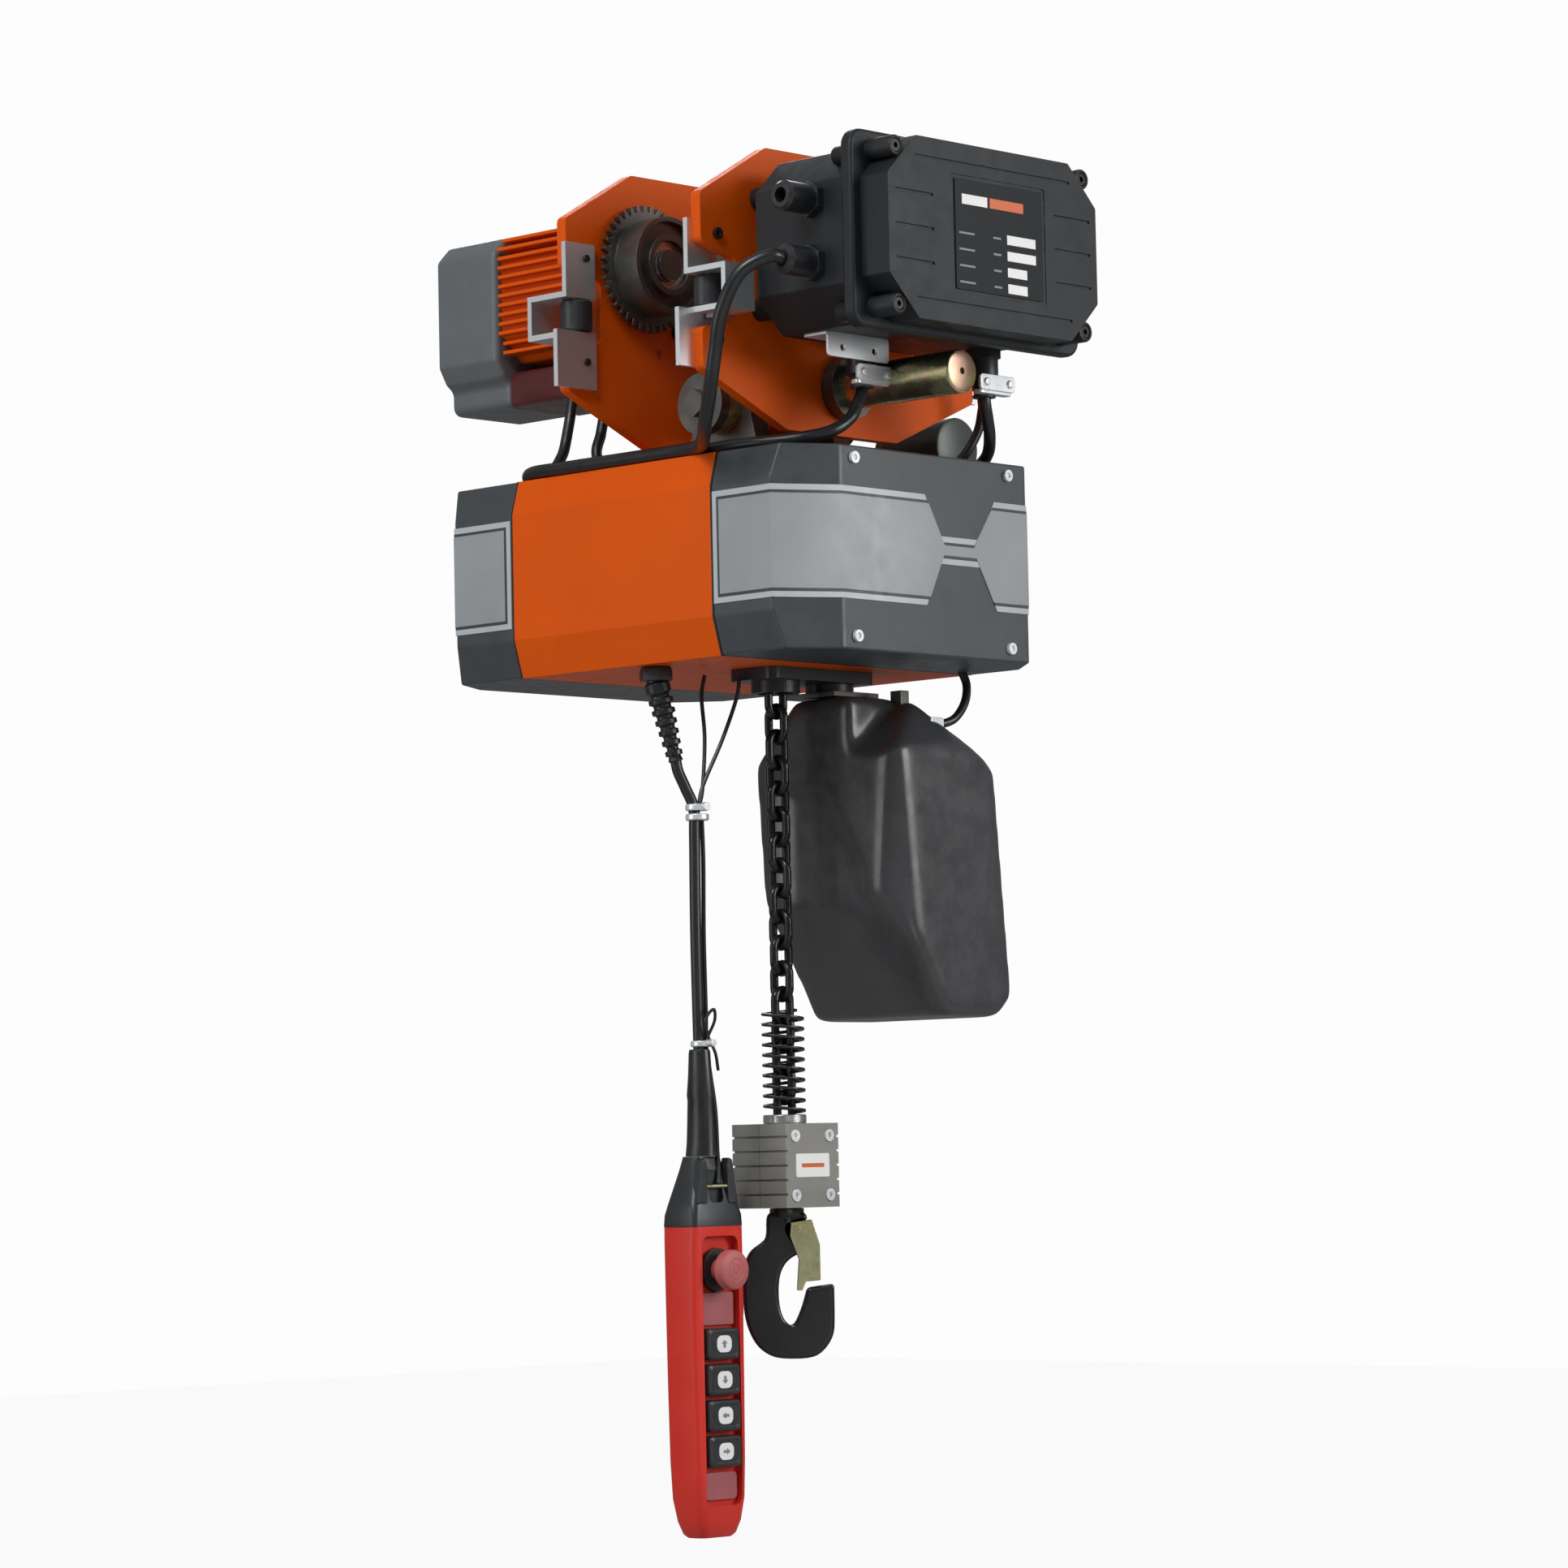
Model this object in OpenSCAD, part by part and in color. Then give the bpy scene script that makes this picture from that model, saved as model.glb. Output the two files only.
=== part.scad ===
// Electric chain hoist hung from a motor-driven beam trolley.
// +X runs along the beam, +Y across it and +Z up, in millimetres.
// The origin is the middle of the cross shaft, under the middle of the beam.

/* [Trolley] */
// Distance between the inner faces of the two side plates
plate_gap = 143; // [142:0.5:144]
// Thickness of a side plate
plate_t = 10; // [9:0.5:10]
// Half length of a side plate along the beam
plate_half = 160; // [158:1:164]
// Radius of the cross shaft
shaft_r = 17.5; // [16:0.5:18]
// Radius of a wheel tread
tread_r = 40; // [39:0.5:40.5]
// Height of the wheel axles above the cross shaft
axle_z = 110; // [108:1:112]
// Module of the trolley drive's teeth
drive_module = 2.5; // [2.5:0.1:2.5]
// Teeth on each driven wheel
wheel_teeth = 40; // [40:2:40]
// Teeth on the drive pinion
pinion_teeth = 20; // [20:2:20]

/* [Junction box] */
// Width of the box's rear part along the beam
box_w = 250; // [244:1:252]
// Height of the box's rear part
box_h = 139; // [136:1:142]
// Height of the box's middle above the cross shaft
box_z = 100; // [98:1:102]
// Wall of the box and of its lid
box_wall = 4; // [3:0.5:4.5]

/* [Suspension] */
// Radius of the bar that carries the hoist
bar_r = 23; // [21:0.5:24]
// Height of the bar's axis from the cross shaft
bar_z = -9; // [-10:1:-8]

/* [Hoist body] */
// Wall of the hoist's housings
body_wall = 5; // [4:0.5:6]
// Inside pitch of the load chain
chain_pitch = 21; // [21:0.1:21]
// Wire diameter of the load chain
chain_wire = 6.9; // [6.5:0.1:6.9]
// Height of the load wheel's axle
wheel_z = -140; // [-140:1:-140]

/* [Hook] */
// Width of the hook block along the beam
block_w = 62; // [60:1:64]
// Bottom of the hook block
block_z0 = -660; // [-662:1:-658]
// Direction the hook's mouth points to, about the vertical
hook_yaw = -45; // [-60:5:-30]

/* [Pendant] */
// Width of the pendant's housing
pendant_w = 58; // [56:1:60]
// Depth of the pendant's housing
pendant_d = 38; // [36:1:40]
// Distance between neighbouring push buttons
button_pitch = 28.5; // [27:0.5:29]

/* [Hidden] */
$fn = 48;

// Running clearance between a turning part and its shaft or seat
running = 0.05;
plate_in = plate_gap / 2;
plate_out = plate_in + plate_t;

// Wheels: the driven wheels' pitch radius and the pinion's sum to the axle distance.
axle_x = drive_module * (wheel_teeth + pinion_teeth) / 2;
axle_r = 8.5;
bearing_r = 20;
ring_in = 60.5;
ring_out = 66.5;
tread_in = 36;

// Guide rollers
roller_x = 145;
roller_y = 76;
roller_r = 13;
roller_z0 = 52.5;
roller_z1 = 78;
bracket_t = 4.5;
bracket_web_y = 112.5;

// Junction box, from its rear face to the lid's front
box_rear = -109;
box_rim = -206.5;
gasket_t = 2.5;
flange_t = 12;
lid_front = -250;
box_chamfer = 28;
lid_chamfer = 33;
lid_w = 248;
lid_h = 144;
flange_w = 269;
flange_h = 156;
pillar_x = 111;
pillar_dz = 62;
gland_y = -170;

// Hoist body outline and stations along Y
body_x0 = -130.6;
body_x1 = 185;
body_top = -58;
body_bottom = -221;
body_y0 = -58;
body_y1 = 172;
near_face = -152;
far_face = 270;

// Load wheel: ten links to the turn, so the link centres lie on a decagon.
link_turn = 10;
link_step = 360 / link_turn;
load_x = chain_pitch / 2 / tan(link_step / 2);
wire_r = chain_wire / 2;
link_half_w = 12;
gear_module = 2;
final_teeth = 56;
rotor_teeth = 14;
rotor_x = load_x + gear_module * (final_teeth + rotor_teeth) / 2;
wheel_shaft_r = 10;
rotor_shaft_r = 8;

// Hook block and hook
block_h = 68;
block_z1 = block_z0 + block_h;
block_d = 60;
shank_r = 10;

// Pendant
pendant_x = -76;
pendant_y = 21;
pendant_top = -673;
pendant_bottom = -921;
pendant_front = pendant_y - pendant_d / 2;
cord_top = [-100, 38, -233];
cord_end = [-86, 31, -298];
stop_z = -708;
first_button_z = -767;

// ---- helpers ----

function unit(v) = v / norm(v);

// The corner q of an outline p-q-s, rounded to radius r.
function corner(p, q, s, r, steps) =
  let (a = unit(p - q), b = unit(s - q), half = acos(a * b) / 2,
       c = q + unit(a + b) * r / sin(half),
       start = q + a * r / tan(half) - c, end = q + b * r / tan(half) - c,
       t0 = atan2(start.y, start.x),
       turn = (atan2(end.y, end.x) - t0 + 540) % 360 - 180)
  [for (i = [0 : steps]) c + r * [cos(t0 + turn * i / steps), sin(t0 + turn * i / steps)]];

// An outline with every corner rounded to radius r.
function rounded(pts, r, steps = 4) = let (n = len(pts))
  [for (i = [0 : n - 1]) each corner(pts[(i + n - 1) % n], pts[i], pts[(i + 1) % n], r, steps)];

// A rectangle and a chamfered rectangle about a centre.
function rect(w, h, c = [0, 0]) =
  [for (s = [[-1, -1], [1, -1], [1, 1], [-1, 1]]) c + [s.x * w / 2, s.y * h / 2]];
function octagon(w, h, cut, c = [0, 0]) = let (a = w / 2, b = h / 2)
  [for (p = [[a - cut, -b], [a, cut - b], [a, b - cut], [a - cut, b],
             [cut - a, b], [-a, b - cut], [-a, cut - b], [cut - a, -b]]) c + p];

// The right half of an outline and its mirror image in X.
function mirrored(half) =
  concat(half, [for (i = [len(half) - 1 : -1 : 0]) [-half[i].x, half[i].y]]);

// A flat shape drawn in X and Z, from y0 to y0 + t, and one drawn in Y and Z from x0.
module slab_y(y0, t) translate([0, y0 + t, 0]) rotate([90, 0, 0]) linear_extrude(t) children();
module slab_x(x0, t) translate([x0, 0, 0]) rotate([90, 0, 90]) linear_extrude(t) children();

module rod_x(y, z, x0, x1, r) translate([x0, y, z]) rotate([0, 90, 0]) cylinder(h = x1 - x0, r = r);
module rod_y(x, z, y0, y1, r) translate([x, y0, z]) rotate([-90, 0, 0]) cylinder(h = y1 - y0, r = r);
module rod_z(x, y, z0, z1, r) translate([x, y, z0]) cylinder(h = z1 - z0, r = r);
module ring_y(x, z, y0, y1, r1, r0) difference() {
  rod_y(x, z, y0, y1, r1);
  rod_y(x, z, y0 - 1, y1 + 1, r0);
}
// The two ends of a span about a middle c.
function about(c, half) = [c - half, c + half];
module block(x, y, z) translate([x[0], y[0], z[0]]) cube([x[1] - x[0], y[1] - y[0], z[1] - z[0]]);

// A round rod between two points.
module strut(a, b, r) {
  d = b - a;
  translate(a)
    rotate([0, acos(d.z / norm(d)), atan2(d.y, d.x)])
      cylinder(h = norm(d), r = r);
}

// The near side's shape and its mirror image on the far side.
module both_sides() {
  children();
  mirror([0, 1, 0]) children();
}
module both_ends() {
  children();
  mirror([1, 0, 0]) children();
}

// A screw with a round socket head, along Y. Its head starts at y and its shank runs to y_end.
module screw_y(x, z, y, y_end, shank, head, head_h) {
  dir = y_end > y ? 1 : -1;
  difference() {
    union() {
      rod_y(x, z, min(y, y_end), max(y, y_end), shank);
      rod_y(x, z, min(y, y - dir * head_h), max(y, y - dir * head_h), head);
    }
    translate([x, y - dir * head_h, z]) rotate([90, 0, 0])
      cylinder(h = head_h, r = head * 0.5, $fn = 6, center = true);
  }
}

// ---- involute teeth, 20 degree pressure angle ----

function inv(a) = tan(a) * 180 / PI - a;
// Half the angle of a tooth at radius r, thinned by play degrees.
function tooth_half(r, teeth, m, play) = let (base = m * teeth / 2 * cos(20))
  90 / teeth - play + inv(20) - inv(acos(min(1, base / r)));
function gear_outline(teeth, m, play, turn) =
  let (pitch = m * teeth / 2, tip = pitch + m, root = pitch - 1.25 * m,
       start = max(root + 0.1, pitch * cos(20)),
       radii = [root, start, (start + tip) / 2, tip])
  [for (i = [0 : teeth - 1]) let (c = turn + i * 360 / teeth) each concat(
    [for (r = radii) let (a = c - tooth_half(max(r, start), teeth, m, play)) r * [cos(a), sin(a)]],
    [for (k = [3 : -1 : 0]) let (r = radii[k], a = c + tooth_half(max(r, start), teeth, m, play))
      r * [cos(a), sin(a)]])];
module gear_y(x, z, y0, y1, teeth, m, play, turn)
  translate([x, 0, z]) slab_y(y0, y1 - y0) polygon(gear_outline(teeth, m, play, turn));

// ---- trolley ----

function plate_points() = mirrored([[65, -38], [plate_half, 3], [plate_half, 36], [121, 45],
  [121, 95], [plate_half, 104], [plate_half, 144], [84, 188]]);
screw_spots = [[142, 112], [143, 27]];
standoff_spots = [[95, 55], [95, 145]];
gearbox_spots = [[48, 150], [34, 62]];

module plate_blank() {
  difference() {
    slab_y(-plate_out, plate_t) polygon(rounded(plate_points(), 6));
    rod_y(0, 0, -plate_out - 1, -plate_in + 1, shaft_r + running);
    both_ends() {
      rod_y(axle_x, axle_z, -plate_out - 1, -plate_in + 1, axle_r + running);
      for (s = screw_spots) rod_y(s.x, s.y, -plate_out - 1, -plate_in + 1, 3.1);
    }
  }
}

module near_side_plate() color("#c85500") difference() {
  plate_blank();
  both_ends() for (s = standoff_spots) rod_y(s.x, s.y, -plate_out - 1, -plate_in + 1, 4.2);
}

module far_side_plate() color("#c85500") difference() {
  mirror([0, 1, 0]) plate_blank();
  rod_y(0, axle_z, plate_in - 1, plate_out + 1, 12);
  rod_y(-55, 42, plate_in - 1, plate_out + 1, 4);
  both_ends() for (s = gearbox_spots) rod_y(s.x, s.y, plate_in - 1, plate_out + 1, 4.2);
}

module cross_shaft() color("#8a7a3c") difference() {
  rod_y(0, 0, -212, 130, shaft_r);
  rod_y(0, 0, -213, -204, 3);
  rod_z(0, -199, -shaft_r - 1, shaft_r + 1, 3);
}

// Outer collars against the plates and distance tubes between plate and suspension block.
module shaft_collars() color("#6d6a4c") both_sides() {
  difference() {
    ring_y(0, 0, -plate_out - 13, -plate_out - 0.1, 25, shaft_r + running);
    rod_z(0, -plate_out - 7, 16, 26, 2.5);
  }
  ring_y(0, 0, -plate_in + 0.1, -31.5, 22, shaft_r + running);
}

module plate_screws() color("#3a3024") {
  both_sides() both_ends() for (s = screw_spots)
    screw_y(s.x, s.y, -plate_out - 0.05, -plate_in + bracket_t + 2, 3, 4.6, 3);
  both_ends() for (s = standoff_spots) screw_y(s.x, s.y, -plate_in + 0.05, -98, 4, 6.5, 4);
  both_ends() for (s = gearbox_spots) screw_y(s.x, s.y, plate_in - 0.05, 95, 4, 6.5, 4);
}

// Stub axles with a head inside, a shoulder against the plate and a hexagon nut outside.
module wheel_axles() color("#9a9a98") both_sides() both_ends() {
  rod_y(axle_x, axle_z, -95, -tread_in, axle_r);
  rod_y(axle_x, axle_z, -39.5, -tread_in, 13);
  rod_y(axle_x, axle_z, -plate_in + 0.05, -ring_out - 0.6, 12);
  translate([axle_x, -plate_out - 0.05, axle_z]) rotate([90, 0, 0]) cylinder(h = 9, r = 14, $fn = 6);
}

module wheel_bearings() color("#b8bbbe") both_sides() both_ends() difference() {
  ring_y(axle_x, axle_z, -60, -40, bearing_r, axle_r + running);
  ring_y(axle_x, axle_z, -61, -59, 17, 12.5);
  ring_y(axle_x, axle_z, -41, -39, 17, 12.5);
}

// A wheel at +X on the near side. The flange outside the beam is plain or has teeth.
module wheel_blank() {
  rod_y(axle_x, axle_z, -ring_in - 0.2, -tread_in, tread_r);
  rod_y(axle_x, axle_z, -ring_out, -ring_in, 46);
}
module wheel_bore() {
  rod_y(axle_x, axle_z, -60.2, -tread_in + 1, bearing_r + running);
  rod_y(axle_x, axle_z, -ring_out - 1, -60, 16);
  ring_y(axle_x, axle_z, -tread_in - 5, -tread_in + 1, 36, 25);
}
module plain_wheel() color("#55585a") difference() {
  wheel_blank();
  wheel_bore();
}
module geared_wheel() color("#55585a") difference() {
  union() {
    rod_y(axle_x, axle_z, -ring_in - 0.2, -tread_in, tread_r);
    gear_y(axle_x, axle_z, -ring_out, -ring_in, wheel_teeth, drive_module, 0.12, 180 / wheel_teeth);
  }
  wheel_bore();
}
module near_right_wheel() plain_wheel();
module near_left_wheel() mirror([1, 0, 0]) plain_wheel();
module far_right_wheel() mirror([0, 1, 0]) geared_wheel();
module far_left_wheel() mirror([1, 0, 0]) mirror([0, 1, 0]) geared_wheel();

module drive_pinion() color("#9a9a98") {
  gear_y(0, axle_z, ring_in, ring_out, pinion_teeth, drive_module, 0.24, 0);
  rod_y(0, axle_z, ring_in - 1, 112, 10);
}

// Bent strip that holds a guide roller beside the beam's flange.
module roller_brackets() color("#c9ccd0") both_sides() both_ends() difference() {
  union() {
    block([132, 165], [-plate_in, -plate_in + bracket_t], [roller_z1 + 1, 124]);
    block([132, 165], [-bracket_web_y, -plate_in + bracket_t], [roller_z1 + 1, roller_z1 + 5.5]);
    block([132, 165], [-bracket_web_y, bracket_t - bracket_web_y], [roller_z0 - 5.5, roller_z1 + 5.5]);
    block([132, 165], [-bracket_web_y, -plate_in + bracket_t], [roller_z0 - 5.5, roller_z0 - 1]);
    block([132, 176], [-plate_in, -plate_in + bracket_t], [5, roller_z0 - 1]);
  }
  rod_z(roller_x, -roller_y, 0, 130, 4.05);
  for (s = screw_spots) rod_y(s.x, s.y, -plate_in - 1, -plate_in + bracket_t + 1, 3.1);
}

module roller_pins() color("#9a9a98") both_sides() both_ends() {
  rod_z(roller_x, -roller_y, roller_z0 - 8, roller_z1 + 6, 4);
  rod_z(roller_x, -roller_y, roller_z1 + 5.6, roller_z1 + 9, 4.4);
}

module roller() color("#26282a") difference() {
  union() {
    rod_z(roller_x, -roller_y, roller_z0, roller_z1, roller_r - 1);
    rod_z(roller_x, -roller_y, roller_z0 + 1, roller_z1 - 1, roller_r);
  }
  rod_z(roller_x, -roller_y, roller_z0 - 1, roller_z1 + 1, 4 + running);
}
module near_right_roller() roller();
module near_left_roller() mirror([1, 0, 0]) roller();
module far_right_roller() mirror([0, 1, 0]) roller();
module far_left_roller() mirror([1, 0, 0]) mirror([0, 1, 0]) roller();

// ---- trolley drive ----

drive_half = 58;
drive_foot = 42;
foot_z0 = 22;
foot_z1 = 52;
housing_y0 = 155;
cap_y0 = 264;
drive_end = 338;
function drive_outline() = mirrored([[drive_foot, foot_z0], [drive_foot, foot_z1 - 8],
  [drive_half, foot_z1 + 8], [drive_half, 168 - 14], [drive_half - 14, 168]]);

module drive_gearbox() color("#4a1012") difference() {
  union() {
    slab_y(plate_out, housing_y0 - plate_out - 0.1) polygon(rounded(drive_outline(), 5));
    block([-drive_foot, drive_foot], [housing_y0 - 1, cap_y0 - 0.1], [foot_z0, foot_z1]);
  }
  rod_y(0, axle_z, plate_out - 1, 114, 10 + running);
  rod_y(0, 0, plate_out - 1, plate_out + 14, 25.5);
  both_ends() for (s = gearbox_spots) rod_y(s.x, s.y, plate_out - 1, 100, 4.1);
}

module drive_motor_housing() color("#c85500") {
  slab_y(housing_y0, cap_y0 - housing_y0 - 0.1)
    polygon(rounded(octagon(102, 106, 22, [0, 113.5]), 6));
  for (z = [66 : 8 : 162])
    block([-drive_half + 1, drive_half - 1], [housing_y0 + 2, cap_y0 - 2], [z, z + 3.5]);
}

module drive_motor_cap() color("#666a6d") difference() {
  slab_y(cap_y0, drive_end - cap_y0) polygon(rounded(drive_outline(), 7));
  slab_y(cap_y0 - 1, drive_end - cap_y0 - 4)
    polygon(rounded(octagon(100, 98, 20, [0, 112]), 5));
}

// ---- junction box ----

module standoffs() both_ends() for (s = standoff_spots)
  rod_y(s.x, s.y, box_rear - 1, -plate_out - 0.05, 9);
lid_corners = [for (x = [-pillar_x, pillar_x]) for (z = [-pillar_dz, pillar_dz]) [x, box_z + z]];
bottom_glands = [[-33, -134], [85, -160]];
side_gland_z = [78, 128];

module junction_box() color("#2c2e30") difference() {
  union() {
    slab_y(box_rim, box_rear - box_rim)
      polygon(rounded(octagon(box_w, box_h, box_chamfer, [0, box_z]), 4));
    standoffs();
    for (c = lid_corners) rod_y(c.x, c.y, box_rim, box_rim + 22, 8);
  }
  slab_y(box_rim - 1, box_rear - box_rim + 1 - box_wall)
    polygon(octagon(box_w - 2 * box_wall, box_h - 2 * box_wall, box_chamfer - 2, [0, box_z]));
  for (c = lid_corners) rod_y(c.x, c.y, box_rim - 1, box_rim + 18, 2.6);
  both_ends() for (s = standoff_spots) rod_y(s.x, s.y, -100, -80, 4.1);
  for (z = side_gland_z) rod_x(gland_y, z, -box_w / 2 - 1, -box_w / 2 + box_wall + 1, 10.05);
  for (g = bottom_glands) rod_z(g.x, g.y, box_z - box_h / 2 - 1, box_z - box_h / 2 + box_wall + 1, 10.05);
}

lid_rear = box_rim - gasket_t;
module lid_gasket() color("#141414") difference() {
  slab_y(lid_rear + 0.05, gasket_t - 0.1)
    polygon(rounded(octagon(box_w - 1, box_h - 1, box_chamfer, [0, box_z]), 4));
  slab_y(lid_rear - 1, gasket_t + 2)
    polygon(octagon(box_w - 2 * box_wall, box_h - 2 * box_wall, box_chamfer - 2, [0, box_z]));
}

module box_lid() color("#3a3d40") difference() {
  union() {
    slab_y(lid_rear - flange_t, flange_t) polygon(rounded(rect(flange_w, flange_h, [0, box_z]), 14));
    slab_y(lid_front, -lid_front + lid_rear - flange_t + 1)
      polygon(rounded(octagon(lid_w, lid_h, lid_chamfer, [0, box_z]), 3));
    for (c = lid_corners) rod_y(c.x, c.y, lid_front + 2, lid_rear - flange_t + 1, 8);
  }
  slab_y(lid_front + box_wall, -lid_front + lid_rear)
    polygon(octagon(lid_w - 2 * box_wall, lid_h - 2 * box_wall, lid_chamfer - 2, [0, box_z]));
  for (c = lid_corners) {
    rod_y(c.x, c.y, lid_front, lid_rear + 1, 3.1);
    rod_y(c.x, c.y, lid_front, lid_front + 9, 5.4);
  }
  // Long grooves above and below the plate's recess, short ones beside it.
  for (s = [-1, 1]) block([-92, 92], [lid_front - 1, lid_front + 1.2], about(box_z + s * 56, 1));
  for (s = [-1, 1]) for (k = [-1 : 1])
    block(about(s * 88, 27), [lid_front - 1, lid_front + 1.2], about(box_z + k * 27, 1));
  block([-48, 58], [lid_front - 1, lid_front + 1], about(box_z, 45));
}

module lid_screws() color("#1c1c1c") for (c = lid_corners)
  screw_y(c.x, c.y, lid_front + 8.9, box_rim + 12, 2.5, 4.9, 6);

// A cable gland: thread, hexagon and domed nut with the cable's hole, along +Z from 0.
module gland(length) difference() {
  union() {
    translate([0, 0, -6]) cylinder(h = 7, r = 10);
    cylinder(h = 7, r = 14.5, $fn = 6);
    translate([0, 0, 7]) cylinder(h = length - 10, r = 12);
    translate([0, 0, length - 3.1]) cylinder(h = 3.1, r1 = 12, r2 = 9.5);
  }
  translate([0, 0, -7]) cylinder(h = length + 8, r = 6);
}
module cable_glands() color("#1a1b1c") {
  for (z = side_gland_z) translate([-box_w / 2 - 0.05, gland_y, z]) rotate([0, -90, 0]) gland(36);
  for (g = bottom_glands)
    translate([g.x, g.y, box_z - box_h / 2 - 0.05]) rotate([180, 0, 0]) gland(30);
}

bracket_x = [-91, -20];
module gland_bracket() color("#c9ccd0") difference() {
  union() {
    block(bracket_x, [-152, -149.5], [11, box_z - box_h / 2 - 0.1]);
    block([bracket_x[0], -52], [-152, -125], [box_z - box_h / 2 - 2.6, box_z - box_h / 2 - 0.1]);
  }
  for (x = [-74, -37]) rod_y(x, 19, -153, -148, 2.75);
}

// The control cable from the lower side gland, hanging down past the plate.
cable_r = 5.5;
module cable_run(points) for (i = [0 : len(points) - 2]) {
  strut(points[i], points[i + 1], cable_r);
  if (i > 0) translate(points[i]) sphere(r = cable_r + 0.3);
}
module box_cable() color("#121212") cable_run([for (t = [0 : 6])
  let (u = t / 6) [-165 - 26 * sin(180 * u) + 14 * u, gland_y + 52 * u, 78 - 118 * u * u]]);

// ---- suspension ----

module suspension_block() color("#8f8440") difference() {
  union() {
    rod_y(0, 0, -31, 31, 30);
    rod_x(0, bar_z, -72, 72, bar_r);
  }
  rod_y(0, 0, -32, 32, shaft_r + running);
}
module bar_end_caps() color("#5d605a") both_ends() {
  rod_x(0, bar_z, 72.1, 82, 25);
  translate([82, 0, bar_z]) rotate([0, 90, 0]) cylinder(h = 8, r = 11.5, $fn = 6);
}
module suspension_lugs() color("#4a4d50") both_ends() difference() {
  union() {
    rod_x(0, bar_z, 38, 56, 34);
    slab_x(38, 18) polygon([[-40, body_top + 10], [40, body_top + 10], [32, bar_z - 10], [-32, bar_z - 10]]);
    block([33, 66], [-48, 48], [body_top + 0.1, body_top + 10.2]);
  }
  rod_x(0, bar_z, 37, 57, bar_r + running);
}

// ---- hoist body ----

// The body's cross-section in X and Z, shrunk by inset.
function body_section(inset) = let (a = body_x0 + inset, b = body_x1 - inset,
    t = body_top - inset, u = body_bottom + inset)
  [[a + 9, u], [b - 9, u], [b, u + 31], [b, t - 28], [b - 8, t], [a + 8, t], [a, t - 28], [a, u + 31]];
// An end cap's plan in X and Y, from the joint to the end face.
function cap_plan(joint, face, inset, left, right) = let (s = sign(face - joint))
  [[body_x0 + inset, joint], [body_x0 + inset, face - s * (left.y + inset / 2)],
   [body_x0 + left.x + inset / 2, face - s * inset], [body_x1 - right.x - inset / 2, face - s * inset],
   [body_x1 - inset, face - s * (right.y + inset / 2)], [body_x1 - inset, joint]];

module body_section_solid(y0, y1, inset) slab_y(y0, y1 - y0) polygon(body_section(inset));
module cap_solid(joint, face, inset) intersection() {
  body_section_solid(min(joint, face), max(joint, face), inset);
  translate([0, 0, -400]) linear_extrude(400)
    polygon(cap_plan(joint, face, inset, [51, 29], [43, 50]));
}
chain_holes = [0, 2 * load_x];
cap_screw_spots = [[-65, -68], [119, -68], [-65, -210], [119, -210]];

module body_housing() color("#c85500") difference() {
  body_section_solid(body_y0, body_y1, 0);
  body_section_solid(body_y0 - 1, body_y1 + 1, body_wall);
  for (x = chain_holes) rod_z(x, 0, body_bottom - 1, body_bottom + body_wall + 1, 19);
  rod_z(cord_top.x, cord_top.y, body_bottom - 1, body_bottom + body_wall + 1, 8.05);
}
module end_cap(joint, face) difference() {
  cap_solid(joint, face, 0);
  cap_solid(joint - sign(face - joint), face, body_wall);
  for (s = cap_screw_spots) rod_y(s.x, s.y, min(face, joint) - 1, max(face, joint) + 1, 2.6);
}
module near_end_cap() color("#44484b") end_cap(body_y0 - 0.2, near_face);
module far_end_cap() color("#44484b") end_cap(body_y1 + 0.2, far_face);
module cap_screws() color("#d0d2d4") for (s = cap_screw_spots) {
  screw_y(s.x, s.y, near_face - 0.05, near_face + 18, 2.5, 4.8, 3);
  screw_y(s.x, s.y, far_face + 0.05, far_face - 18, 2.5, 4.8, 3);
}

// Frame plates that carry the load wheel's and the motor's shafts.
module gear_frame() color("#8c9092") difference() {
  for (y = [[-46, -36], [62, 72]])
    slab_y(y[0], y[1] - y[0]) polygon(rounded(rect(200, 150, [62, -139.5]), 8));
  rod_y(load_x, wheel_z, -60, 80, wheel_shaft_r + running);
  rod_y(rotor_x, wheel_z, -60, 80, rotor_shaft_r + running);
}
module motor_stator() color("#3c4043") ring_y(rotor_x, wheel_z, 76, 168, 54, 36);
module motor_rotor() color("#a8a39a") {
  rod_y(rotor_x, wheel_z, -48, 214, rotor_shaft_r);
  gear_y(rotor_x, wheel_z, 38, 52, rotor_teeth, gear_module, 0.3, 0);
  rod_y(rotor_x, wheel_z, 80, 164, 35);
  rod_y(rotor_x, wheel_z, 196, 204, 44);
}
module final_gear() color("#a8a39a") difference() {
  gear_y(load_x, wheel_z, 38, 52, final_teeth, gear_module, 0.1, 180 / final_teeth);
  rod_y(load_x, wheel_z, 37, 53, wheel_shaft_r + running);
}

// Load wheel with a groove for the standing links, and five flat seats for the lying ones between
// two flanges. Its seats stay inside the wrapped links, so it turns clear of them.
flange_in = link_half_w + 0.6;
seat_ridge_r = load_x - wire_r - 0.4;
module chain_seats() difference() {
  rod_y(load_x, wheel_z, -15, 15, seat_ridge_r);
  for (k = [0 : 4]) translate([load_x, 0, wheel_z]) rotate([0, 36 - 72 * k, 0])
    block([seat_ridge_r - 2.5, 60], [-16, 16], [-19, 19]);
}
module load_wheel() color("#a8a39a") difference() {
  union() {
    chain_seats();
    rod_y(load_x, wheel_z, -16, -flange_in, 41);
    rod_y(load_x, wheel_z, flange_in, 16, 41);
    rod_y(load_x, wheel_z, -48, 74, wheel_shaft_r);
  }
  ring_y(load_x, wheel_z, -4.6, 4.6, 42, load_x - link_half_w - 1);
}

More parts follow.
